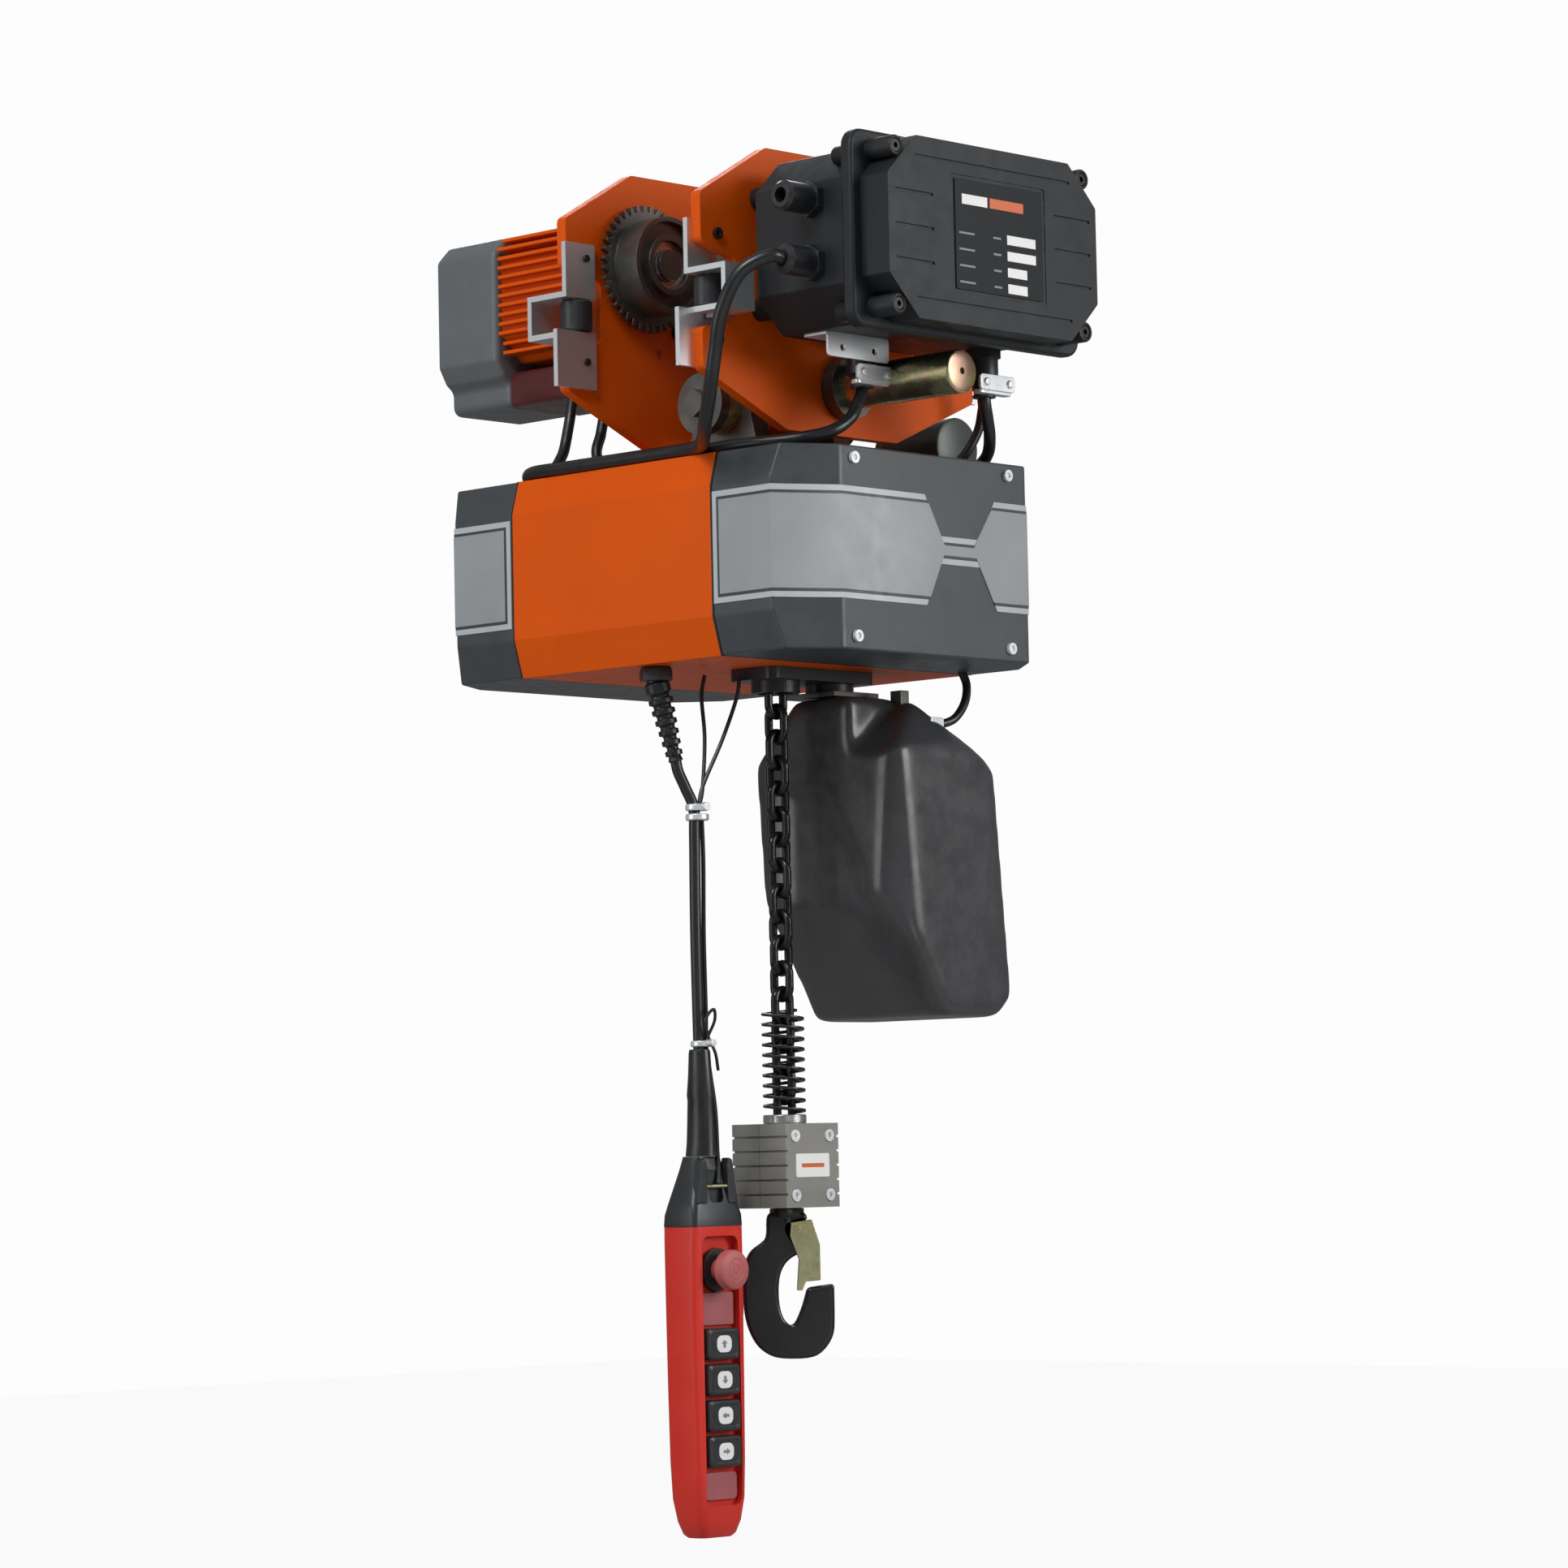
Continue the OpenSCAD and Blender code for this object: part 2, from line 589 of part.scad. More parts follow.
// One link, upright, with its width along X.
module half_ring() rotate([90, 0, 0]) rotate_extrude(angle = 180)
  translate([link_half_w - wire_r, 0]) circle(r = wire_r, $fn = 24);
module link() {
  arm = link_half_w - wire_r;
  straight = chain_pitch / 2 + wire_r - arm;
  for (s = [-1, 1]) rod_z(s * arm, 0, -straight, straight, wire_r, $fn = 24);
  translate([0, 0, straight]) half_ring();
  translate([0, 0, -straight]) mirror([0, 0, 1]) half_ring();
}
// Link k sits k pitches below the load wheel's height. Even links lie flat on the wheel.
module fall_link(k, x = 0) translate([x, 0, wheel_z - k * chain_pitch]) rotate([0, 0, k % 2 == 0 ? 90 : 0]) link();
module wrapped_link(k) translate([load_x, 0, wheel_z]) rotate([0, 180 + k * link_step, 0])
  translate([load_x, 0, 0]) rotate([0, 0, k % 2 == 0 ? 90 : 0]) link();
first_fall = 4;
last_fall = 22;
slack_links = 8;
module load_chain() color("#1b1c1d") for (k = [first_fall : last_fall]) fall_link(k);
module wheel_chain() color("#1b1c1d") {
  for (k = [1 : first_fall - 1]) fall_link(k);
  for (k = [0 : 5]) wrapped_link(k);
  for (k = [1 : slack_links]) fall_link(k + 1, 2 * load_x);
}

module chain_guide() color("#1a1b1c") difference() {
  union() {
    translate([0, 0, body_bottom - 10]) linear_extrude(9.9)
      polygon(rounded([[-30, -26], [94, -26], [94, 26], [-30, 26]], 8));
    for (x = chain_holes) rod_z(x, 0, body_bottom - 20, body_bottom - 9, 20);
  }
  for (x = chain_holes) rod_z(x, 0, body_bottom - 21, body_bottom + 1, 15);
}

module top_canister() color("#3f4441") {
  rod_y(158, -32, -66, 6, 26);
  block([140, 176], [-60, 0], [body_top + 0.1, -50]);
}

// The chain container's two side views, shrunk by inset. Its solid is where they meet.
function container_xz(e) = [[84 + e, -508 + e], [156 - e, -508 + e], [170 - e, -490], [156 - e, -318],
  [126 - e, -290], [98 - e, -258], [90 - e, -243 + e], [48 + e, -243 + e], [46 + e, -262], [30 + e, -282],
  [30 + e, -408]];
function container_yz(e) = [[-103 + e, -508 + e], [50 - e, -508 + e], [50 - e, -409], [57 - e, -296],
  [20 - e, -252], [20 - e, -243 + e], [-52 + e, -243 + e], [-60 + e, -256], [-103 + e, -292]];
module container_solid(e) intersection() {
  slab_y(-140, 220) polygon(rounded(container_xz(e), 7, 3));
  slab_x(20, 160) polygon(rounded(container_yz(e), 8, 3));
}
module chain_container() color("#333436") difference() {
  union() {
    container_solid(0);
    block([42, 49.5], [-8, 8], [-262, body_bottom - 20.2]);
    block([79, 86], [-8, 8], [-262, body_bottom - 20.2]);
  }
  container_solid(3.5);
  rod_z(2 * load_x, 0, -270, -241, 15);
}

module cord_grip() color("#151515") {
  rod_z(cord_top.x, cord_top.y, cord_top.z, body_bottom + 4, 8);
  rod_z(cord_top.x, cord_top.y, cord_top.z - 1, body_bottom - 0.1, 14);
  strut(cord_top, cord_end, 7);
  for (i = [1 : 6]) let (p = cord_top + (cord_end - cord_top) * i / 7, n = unit(cord_end - cord_top))
    strut(p, p + 4 * n, 11 - 0.5 * i);
}

// ---- hook block ----

// Flat-wound buffer coil: a rectangular section swept along a helix.
coil_turns = 10;
coil_steps = 20;
coil_top = -498;
coil_pitch = 8.3;
coil_section = [[13, -1.6], [17.5, -1.6], [17.5, 1.6], [13, 1.6]];
coil_points = [for (i = [0 : coil_turns * coil_steps]) let (a = 360 * i / coil_steps)
  for (p = coil_section) [p.x * cos(a), p.x * sin(a), coil_top - 1.6 - coil_pitch * i / coil_steps + p.y]];
coil_faces = let (n = coil_turns * coil_steps) concat([[3, 2, 1, 0]],
  [for (i = [0 : n - 1]) for (k = [0 : 3]) let (a = 4 * i + k, b = 4 * i + (k + 1) % 4) [a, b, b + 4, a + 4]],
  [[4 * n, 4 * n + 1, 4 * n + 2, 4 * n + 3]]);
module buffer_spring() color("#161718") {
  polyhedron(coil_points, coil_faces);
  difference() {
    rod_z(0, 0, block_z1 + 0.1, block_z1 + 7.5, 18);
    rod_z(0, 0, block_z1 - 1, block_z1 + 9, 13);
  }
}

chain_pin_z = wheel_z - last_fall * chain_pitch - 4;
chain_pin_r = 3.4;
chain_pin_half = 16.5;
module block_half() difference() {
  union() {
    block([-block_w / 2 + 3, block_w / 2 - 3], [-block_d / 2, -0.05], [block_z0, block_z1]);
    for (k = [0 : 5])
      block(about(0, block_w / 2), [-block_d / 2, -0.05], about(block_z0 + 11.4 * k + 5.1, 4.5));
  }
  rod_z(0, 0, block_z0 - 1, block_z0 + 20, shank_r + running);
  rod_z(0, 0, block_z0 + 16, block_z0 + 38, 17);
  rod_z(0, 0, block_z0 + 30, block_z1 + 1, 13.5);
  rod_x(0, chain_pin_z, -chain_pin_half - 0.1, chain_pin_half + 0.1, chain_pin_r + running);
  both_ends() for (z = [10, block_h - 10])
    rod_y(20, block_z0 + z, -block_d / 2 - 1, 1, 3.05);
  both_ends() for (z = [10, block_h - 10])
    rod_y(20, block_z0 + z, -block_d / 2 - 1, -block_d / 2 + 3.5, 5.2);
}
module hook_block() color("#8a8984") both_sides() block_half();
module block_screws() color("#b4b5b2") {
  both_ends() for (z = [10, block_h - 10])
    screw_y(20, block_z0 + z, -block_d / 2 + 3.45, block_d / 2 - 4, 3, 5, 4.5);
  rod_x(0, chain_pin_z, -chain_pin_half, chain_pin_half, chain_pin_r);
}

// The hook in its own plane, mouth towards +X, before it is turned to hook_yaw.
hook_t = 19;
hook_outline = [[-17, -684], [-31, -693], [-37, -712], [-37, -742], [-27, -772],
  [-8, -782], [20, -782], [37, -764], [37, -722], [15, -725], [3, -757], [-8, -744], [-8, -718],
  [2, -701], [11, -697], [8, -690], [1, -679], [1, -673], [16, -671], [16, -664], [-17, -664]];
module hook_plane() rotate([0, 0, hook_yaw]) children();
module hook() color("#151617") hook_plane() {
  rod_z(0, 0, block_z0 - 8, block_z0 + 17, shank_r);
  rod_z(0, 0, block_z0 + 16.3, block_z0 + 29, 16);
  rod_z(0, 0, block_z0 - 5, block_z0 - 0.3, 14);
  difference() {
    slab_y(-hook_t / 2, hook_t) polygon(rounded(hook_outline, 2.2, 3));
    rod_y(latch_pivot.x, latch_pivot.y, -hook_t, hook_t, 2.6);
  }
}
latch_pivot = [8, -677];
latch_half = 11.3;
latch_wall = 1.5;
latch_side = [[3, -672], [20, -670], [26, -690], [26, -719], [14, -720], [11, -727], [7, -727], [9, -702], [2, -683]];
module hook_latch() color("#a89a4a") hook_plane() {
  rod_y(latch_pivot.x, latch_pivot.y, -latch_half - 1, latch_half + 1, 2.5);
  difference() {
    slab_y(-latch_half, 2 * latch_half) polygon(latch_side);
    slab_y(latch_wall - latch_half, 2 * (latch_half - latch_wall))
      polygon([[0, -660], [18, -660], [24.3, -690], [24.3, -730], [0, -730]]);
  }
}

// ---- pendant ----

cable_x = [pendant_x, pendant_y];
pendant_eye_z = -307;
module pendant_cable() color("#121314") {
  rod_z(cable_x.x, cable_x.y, -530, -338, 4.5);
  rod_z(cable_x.x + 7.6, cable_x.y, -530, -338, 2.6);
  strut([cord_end.x, cord_end.y, pendant_eye_z], [cable_x.x, cable_x.y, -339], 4);
  rod_x(cord_end.y, pendant_eye_z, cord_end.x - 7, cord_end.x + 7, 5.5);
  rod_z(cable_x.x + 3, cable_x.y, -346, -334, 9);
}
module pendant_boot() color("#17181a") {
  translate([cable_x.x, cable_x.y, -617]) cylinder(h = 86.9, r1 = 14, r2 = 9);
}
function pendant_front_view(top, bottom, w) =
  [[-w / 2 + 4, bottom], [w / 2 - 4, bottom], [w / 2, bottom + 60], [w / 2, top], [-w / 2, top], [-w / 2, bottom + 60]];
module pendant_shell(top, bottom, w, d) translate([pendant_x, pendant_y, 0])
  slab_y(-d / 2, d) polygon(rounded(pendant_front_view(top, bottom, w), 6));
module pendant_cap() color("#2a2b2d") difference() {
  translate([pendant_x, pendant_y, 0]) intersection() {
    slab_y(-pendant_d / 2, pendant_d) polygon([[-29, pendant_top + 0.1], [29, pendant_top + 0.1],
      [29, pendant_top + 14], [15, -617.1], [-15, -617.1], [-29, pendant_top + 14]]);
    slab_x(-30, 60) polygon([[-19, pendant_top], [19, pendant_top], [19, pendant_top + 14], [14, -616], [-14, -616], [-19, pendant_top + 14]]);
  }
  translate([pendant_x, pendant_y, 0]) block([-25, 25], [-15, 15], [pendant_top - 1, pendant_top + 12]);
}
button_z = [for (i = [0 : 3]) first_button_z - i * button_pitch];
button_half = [18, 12.5];
button_play = 0.5;
module pendant_housing() color("#c1301f") difference() {
  pendant_shell(pendant_top, pendant_bottom, pendant_w, pendant_d);
  pendant_shell(pendant_top + 1, pendant_bottom + 3, pendant_w - 6, pendant_d - 6);
  translate([pendant_x, 0, 0]) {
    block([-20, 20], [pendant_front - 1, pendant_front + 1.2], [pendant_bottom + 22, pendant_top - 6]);
    for (z = button_z)
      block(about(0, button_half.x + button_play), [pendant_front - 1, pendant_front + 5],
        about(z, button_half.y + button_play));
  }
  rod_y(pendant_x, stop_z, pendant_front - 2, pendant_front + 5, 9.05);
}
module stop_button() color("#b8342a") {
  rod_y(pendant_x, stop_z, pendant_front - 8, pendant_front + 14, 9);
  rod_y(pendant_x, stop_z, pendant_front - 18, pendant_front - 7, 16);
}
module push_button(z) color("#141516")
  block(about(pendant_x, button_half.x), [pendant_front - 3, pendant_front + 10], about(z, button_half.y));
module up_button() push_button(button_z[0]);
module down_button() push_button(button_z[1]);
module left_button() push_button(button_z[2]);
module right_button() push_button(button_z[3]);

near_side_plate();
far_side_plate();
cross_shaft();
shaft_collars();
plate_screws();
wheel_axles();
wheel_bearings();
roller_brackets();
roller_pins();
drive_gearbox();
drive_motor_housing();
drive_motor_cap();
junction_box();
box_lid();
lid_gasket();
lid_screws();
cable_glands();
gland_bracket();
box_cable();
near_left_wheel();
near_right_wheel();
far_left_wheel();
far_right_wheel();
near_left_roller();
near_right_roller();
far_left_roller();
far_right_roller();
drive_pinion();
suspension_block();
bar_end_caps();
suspension_lugs();
body_housing();
near_end_cap();
far_end_cap();
cap_screws();
gear_frame();
motor_stator();
chain_guide();
wheel_chain();
top_canister();
chain_container();
cord_grip();
load_wheel();
final_gear();
motor_rotor();
load_chain();
buffer_spring();
hook_block();
block_screws();
hook();
hook_latch();
pendant_cable();
pendant_boot();
pendant_cap();
pendant_housing();
stop_button();
up_button();
down_button();
left_button();
right_button();
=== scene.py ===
"""Looks of an electric chain hoist on a motor-driven beam trolley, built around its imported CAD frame.

Metres, +X along the beam, +Y across it, +Z up. Sizes below are given in millimetres and scaled by MM.
"""
import math

import bmesh
import bpy
from mathutils import Matrix, Vector


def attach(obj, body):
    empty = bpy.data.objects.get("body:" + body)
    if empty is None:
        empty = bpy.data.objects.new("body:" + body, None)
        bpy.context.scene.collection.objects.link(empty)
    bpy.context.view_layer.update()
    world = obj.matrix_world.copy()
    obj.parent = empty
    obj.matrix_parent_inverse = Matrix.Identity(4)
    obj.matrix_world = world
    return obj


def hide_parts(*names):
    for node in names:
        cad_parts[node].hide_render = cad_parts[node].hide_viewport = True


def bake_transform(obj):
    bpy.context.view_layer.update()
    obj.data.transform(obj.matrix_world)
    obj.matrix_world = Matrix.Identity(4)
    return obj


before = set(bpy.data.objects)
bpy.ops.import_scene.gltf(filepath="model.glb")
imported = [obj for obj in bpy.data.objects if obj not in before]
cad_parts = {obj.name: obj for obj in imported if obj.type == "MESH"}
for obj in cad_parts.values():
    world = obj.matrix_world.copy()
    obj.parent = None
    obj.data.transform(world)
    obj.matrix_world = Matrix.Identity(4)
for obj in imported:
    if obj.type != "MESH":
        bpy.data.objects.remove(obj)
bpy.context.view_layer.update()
MM = 0.001
ORIGIN = (0, 0, 0)
AXIS_X, AXIS_Y, AXIS_Z, MINUS_Y = (1, 0, 0), (0, 1, 0), (0, 0, 1), (0, -1, 0)
SHARP = math.radians(32)  # edges that turn by more than this shade as creases
scene = bpy.context.scene


# ---------------------------------------------------------------- materials

def ramp_node(nt, stops):
    ramp = nt.nodes.new("ShaderNodeValToRGB")
    els = ramp.color_ramp.elements
    while len(els) < len(stops):
        els.new(0.5)
    for el, (pos, col) in zip(els, stops):
        el.position = pos
        el.color = (*col, 1)
    return ramp


def noise_node(nt, coord, scale, detail=3.0, rough=0.55, stretch=None):
    noise = nt.nodes.new("ShaderNodeTexNoise")
    noise.inputs["Scale"].default_value = scale
    noise.inputs["Detail"].default_value = detail
    noise.inputs["Roughness"].default_value = rough
    source = coord
    if stretch:
        mapping = nt.nodes.new("ShaderNodeMapping")
        mapping.inputs["Scale"].default_value = stretch
        nt.links.new(coord, mapping.inputs["Vector"])
        source = mapping.outputs["Vector"]
    nt.links.new(source, noise.inputs["Vector"])
    return noise.outputs["Fac"]


def mapped(nt, value, lo, hi, a=0.3, b=0.7):
    node = nt.nodes.new("ShaderNodeMapRange")
    for key, val in (("From Min", a), ("From Max", b), ("To Min", lo), ("To Max", hi)):
        node.inputs[key].default_value = val
    nt.links.new(value, node.inputs["Value"])
    return node.outputs["Result"]


def make_material(name, base, rough, metal=0.0, vary=0.12, stops=None, stops_scale=30.0, stretch=None,
                  grain=(900.0, 0.08), rough_vary=0.08, edge_wear_and_highlight=None, edge_wear_and_highlight_width=0.9, round_mm=0.5,
                  specular=0.5):
    """A surface with colour drift, roughness patches, fine grain and lighter edges, partly worn paint and
    partly a painted highlight.

    The edge colour is a colour or None, and the edge width is the width of that lighter edge in millimetres.
    """
    mat = bpy.data.materials.new(name)
    mat.use_nodes = True
    nt = mat.node_tree
    wire = nt.links.new
    bsdf = nt.nodes["Principled BSDF"]
    coord = nt.nodes.new("ShaderNodeTexCoord").outputs["Object"]
    if stops:
        ramp = ramp_node(nt, stops)
        wire(noise_node(nt, coord, stops_scale, 4.0, 0.6, stretch), ramp.inputs["Fac"])
        colour = ramp.outputs["Color"]
    else:
        dark = tuple(c * (1 - vary) for c in base)
        light = tuple(min(1.0, c * (1 + vary)) for c in base)
        ramp = ramp_node(nt, [(0.3, dark), (0.7, light)])
        wire(noise_node(nt, coord, 14.0, 5.0, 0.6, stretch), ramp.inputs["Fac"])
        colour = ramp.outputs["Color"]
    rough_out = mapped(nt, noise_node(nt, coord, 55.0, 4.0, 0.65, stretch),
                       max(0.03, rough - rough_vary), min(1.0, rough + rough_vary))
    bump = nt.nodes.new("ShaderNodeBump")
    if round_mm:
        bevel = nt.nodes.new("ShaderNodeBevel")
        bevel.samples = 4
        bevel.inputs["Radius"].default_value = round_mm * MM
        wire(bevel.outputs["Normal"], bump.inputs["Normal"])
    # Lighter edges: partly worn paint, partly a painted highlight along the edges.
    if edge_wear_and_highlight:
        edge = nt.nodes.new("ShaderNodeBevel")
        edge.samples = 4
        edge.inputs["Radius"].default_value = edge_wear_and_highlight_width * MM
        geometry = nt.nodes.new("ShaderNodeNewGeometry")
        dot = nt.nodes.new("ShaderNodeVectorMath")
        dot.operation = "DOT_PRODUCT"
        wire(edge.outputs["Normal"], dot.inputs[0])
        wire(geometry.outputs["Normal"], dot.inputs[1])
        worn_and_highlit_edge = mapped(nt, dot.outputs["Value"], 1.0, 0.0, 0.70, 0.93)
        patch = mapped(nt, noise_node(nt, coord, 130.0, 6.0, 0.7), 0.0, 1.0, 0.42, 0.62)
        both = nt.nodes.new("ShaderNodeMath")
        both.operation = "MULTIPLY"
        wire(worn_and_highlit_edge, both.inputs[0])
        wire(patch, both.inputs[1])
        mix = nt.nodes.new("ShaderNodeMix")
        mix.data_type = "RGBA"
        wire(both.outputs["Value"], mix.inputs["Factor"])
        wire(colour, mix.inputs["A"])
        mix.inputs["B"].default_value = (*edge_wear_and_highlight, 1)
        colour = mix.outputs["Result"]
    bump.inputs["Strength"].default_value = grain[1]
    bump.inputs["Distance"].default_value = 0.3 * MM
    wire(noise_node(nt, coord, grain[0], 2.0, 0.5, stretch), bump.inputs["Height"])
    wire(bump.outputs["Normal"], bsdf.inputs["Normal"])
    wire(colour, bsdf.inputs["Base Color"])
    wire(rough_out, bsdf.inputs["Roughness"])
    bsdf.inputs["Metallic"].default_value = metal
    bsdf.inputs["Specular IOR Level"].default_value = specular
    return mat


ZINC_STOPS = [(0.30, (0.46, 0.42, 0.22)), (0.44, (0.62, 0.56, 0.31)), (0.54, (0.52, 0.53, 0.30)),
              (0.64, (0.62, 0.49, 0.38)), (0.74, (0.66, 0.62, 0.38))]
PINK_STOPS = [(0.30, (0.33, 0.20, 0.15)), (0.50, (0.36, 0.23, 0.17)), (0.62, (0.33, 0.29, 0.12)),
              (0.72, (0.25, 0.29, 0.13))]
# look: its material slot in the record, then make_material's values.
# The edge colours below paint worn edges and partly a painted highlight along them.
LOOKS = {
    "orange": ("orange_paint", dict(name="orange_powder_coat", base=(0.66, 0.084, 0.0), rough=0.46,
        vary=0.04, grain=(1500.0, 0.08), edge_wear_and_highlight=(0.82, 0.26, 0.05), edge_wear_and_highlight_width=0.6, specular=0.16)),
    "slate": ("slate_casting", dict(name="slate_casting_paint", base=(0.044, 0.050, 0.055), rough=0.40,
        vary=0.10, grain=(1300.0, 0.22), edge_wear_and_highlight=(0.16, 0.17, 0.18), edge_wear_and_highlight_width=0.7)),
    # Painted highlight: the band's light border stands for the highlight on the band's bevelled edge.
    "band_painted_highlight": ("slate_casting", dict(name="band_bevel_highlight", base=(0.42, 0.45, 0.47), rough=0.42, vary=0.05,
        grain=(1500.0, 0.1))),
    "band_grey": ("slate_casting", dict(name="band_panel", base=(0.275, 0.293, 0.306), rough=0.45,
        vary=0.07, grain=(1500.0, 0.12))),
    # Painted shade: the band's dark strip stands for the shade in a groove inside the border.
    "band_painted_shade": ("slate_casting", dict(name="band_painted_groove_shade", base=(0.035, 0.042, 0.048), rough=0.5,
        vary=0.1)),
    "box": ("black_plastic", dict(name="black_glass_filled_nylon", base=(0.012, 0.014, 0.016), rough=0.46,
        vary=0.16, grain=(1700.0, 0.40), edge_wear_and_highlight=(0.13, 0.14, 0.145), edge_wear_and_highlight_width=0.8, specular=0.30)),
    "plastic": ("black_plastic", dict(name="black_plastic", base=(0.018, 0.019, 0.021), rough=0.36,
        vary=0.18, grain=(1200.0, 0.16), edge_wear_and_highlight=(0.06, 0.06, 0.062))),
    "rubber": ("black_rubber", dict(name="black_rubber", base=(0.010, 0.011, 0.012), rough=0.34, vary=0.2,
        grain=(700.0, 0.12), round_mm=0.2)),
    "container": ("container_plastic", dict(name="container_plastic", base=(0.046, 0.047, 0.049),
        rough=0.27, vary=0.12, grain=(500.0, 0.07), round_mm=0.8)),
    "zinc": ("bright_zinc", dict(name="bright_zinc_plate", base=(0.80, 0.82, 0.84), rough=0.30, metal=0.55,
        vary=0.08, grain=(600.0, 0.06), rough_vary=0.03)),
    "yellow_zinc": ("yellow_zinc", dict(name="yellow_passivate", base=(0.42, 0.37, 0.15), rough=0.26,
        metal=1.0, stops=ZINC_STOPS, stops_scale=45.0, grain=(500.0, 0.06), rough_vary=0.1)),
    "pink_zinc": ("yellow_zinc", dict(name="pink_passivate", base=(0.72, 0.48, 0.45), rough=0.33, metal=1.0,
        stops=PINK_STOPS, stops_scale=60.0, grain=(900.0, 0.10))),
    "dark_steel": ("dark_steel", dict(name="oiled_dark_steel", base=(0.135, 0.135, 0.125), rough=0.36,
        metal=0.85, vary=0.25, grain=(420.0, 0.14), edge_wear_and_highlight=(0.42, 0.41, 0.38), edge_wear_and_highlight_width=0.6)),
    "steel": ("bright_steel", dict(name="ground_steel", base=(0.55, 0.56, 0.57), rough=0.27, metal=1.0,
        vary=0.12, grain=(800.0, 0.08), stretch=(1, 1, 5), edge_wear_and_highlight=(0.8, 0.8, 0.8), edge_wear_and_highlight_width=0.4)),
    "bolt_black": ("black_screws", dict(name="black_oxide", base=(0.032, 0.030, 0.028), rough=0.33,
        metal=0.6, vary=0.25, grain=(900.0, 0.1), edge_wear_and_highlight=(0.22, 0.17, 0.12), edge_wear_and_highlight_width=0.35)),
    "screw_bright": ("bright_steel", dict(name="bright_screw", base=(0.86, 0.87, 0.88), rough=0.25,
        metal=0.4, vary=0.1, grain=(900.0, 0.05))),
    "chain": ("blackened_steel", dict(name="oiled_black_chain", base=(0.022, 0.022, 0.023), rough=0.23,
        metal=0.55, vary=0.35, grain=(500.0, 0.16), rough_vary=0.12, edge_wear_and_highlight=(0.30, 0.30, 0.29),
        edge_wear_and_highlight_width=0.5, round_mm=0.3)),
    "hook": ("blackened_steel", dict(name="forged_black_hook", base=(0.011, 0.011, 0.012), rough=0.22,
        metal=0.0, vary=0.25, grain=(400.0, 0.06), rough_vary=0.04, edge_wear_and_highlight=(0.09, 0.09, 0.09),
        edge_wear_and_highlight_width=2.2)),
    "block": ("grey_block", dict(name="blasted_aluminium", base=(0.25, 0.245, 0.225), rough=0.40,
        metal=0.35, vary=0.12, grain=(1100.0, 0.22), stretch=(1, 1, 2.5), edge_wear_and_highlight=(0.52, 0.51, 0.48),
        edge_wear_and_highlight_width=0.7)),
    "motor_cap": ("grey_casting", dict(name="grey_motor_paint", base=(0.115, 0.124, 0.131), rough=0.40,
        vary=0.08, grain=(900.0, 0.18), edge_wear_and_highlight=(0.26, 0.27, 0.28), edge_wear_and_highlight_width=1.0)),
    "dark_red": ("dark_red_paint", dict(name="dark_red_paint", base=(0.070, 0.006, 0.006), rough=0.36,
        vary=0.15, grain=(800.0, 0.12))),
    "cast": ("cast_frame", dict(name="machined_casting", base=(0.25, 0.26, 0.27), rough=0.5, metal=0.7,
        vary=0.2, grain=(700.0, 0.3))),
    "red": ("pendant_red", dict(name="pendant_red", base=(0.62, 0.028, 0.016), rough=0.36, vary=0.06,
        grain=(900.0, 0.07), edge_wear_and_highlight=(0.68, 0.07, 0.04), edge_wear_and_highlight_width=1.2, specular=0.35)),
    "stop_red": ("stop_red", dict(name="faded_stop_red", base=(0.43, 0.10, 0.095), rough=0.5, vary=0.14,
        grain=(900.0, 0.2), edge_wear_and_highlight=(0.55, 0.22, 0.2))),
    "blank_red": ("pendant_red", dict(name="blank_plate_red", base=(0.36, 0.095, 0.105), rough=0.42,
        vary=0.08, grain=(900.0, 0.1))),
    "pendant_grey": ("pendant_grey", dict(name="pendant_grey", base=(0.017, 0.019, 0.022), rough=0.36,
        vary=0.12, grain=(1100.0, 0.15), edge_wear_and_highlight=(0.12, 0.125, 0.13), edge_wear_and_highlight_width=1.0)),
    "canister": ("black_plastic", dict(name="canister_green_grey", base=(0.052, 0.060, 0.054), rough=0.36,
        metal=0.2, vary=0.12, grain=(600.0, 0.08), edge_wear_and_highlight=(0.14, 0.15, 0.14))),
    "white": ("button_black", dict(name="white_print", base=(0.80, 0.80, 0.79), rough=0.4, vary=0.04,
        grain=(900.0, 0.04), round_mm=0)),
    "plate_dark": ("black_plastic", dict(name="nameplate_film", base=(0.012, 0.014, 0.016), rough=0.42,
        vary=0.1, grain=(900.0, 0.03), rough_vary=0.02, specular=0.15, round_mm=0)),
    "print_orange": ("orange_paint", dict(name="orange_print", base=(0.62, 0.12, 0.02), rough=0.4,
        vary=0.06, round_mm=0)),
    "print_grey": ("black_plastic", dict(name="grey_print", base=(0.20, 0.21, 0.22), rough=0.4, vary=0.06,
        round_mm=0)),
}
MATERIALS = {look: make_material(**values) for look, (slot, values) in LOOKS.items()}


# ---------------------------------------------------------------- mesh helpers

def put(axis, u, v, w):
    """The point at (u, v) in a plane and w along axis: x takes (y, z), y takes (x, z), z takes (x, y)."""
    point = {"x": (w, u, v), "y": (u, w, v), "z": (u, v, w)}[axis]
    return Vector(point) * MM


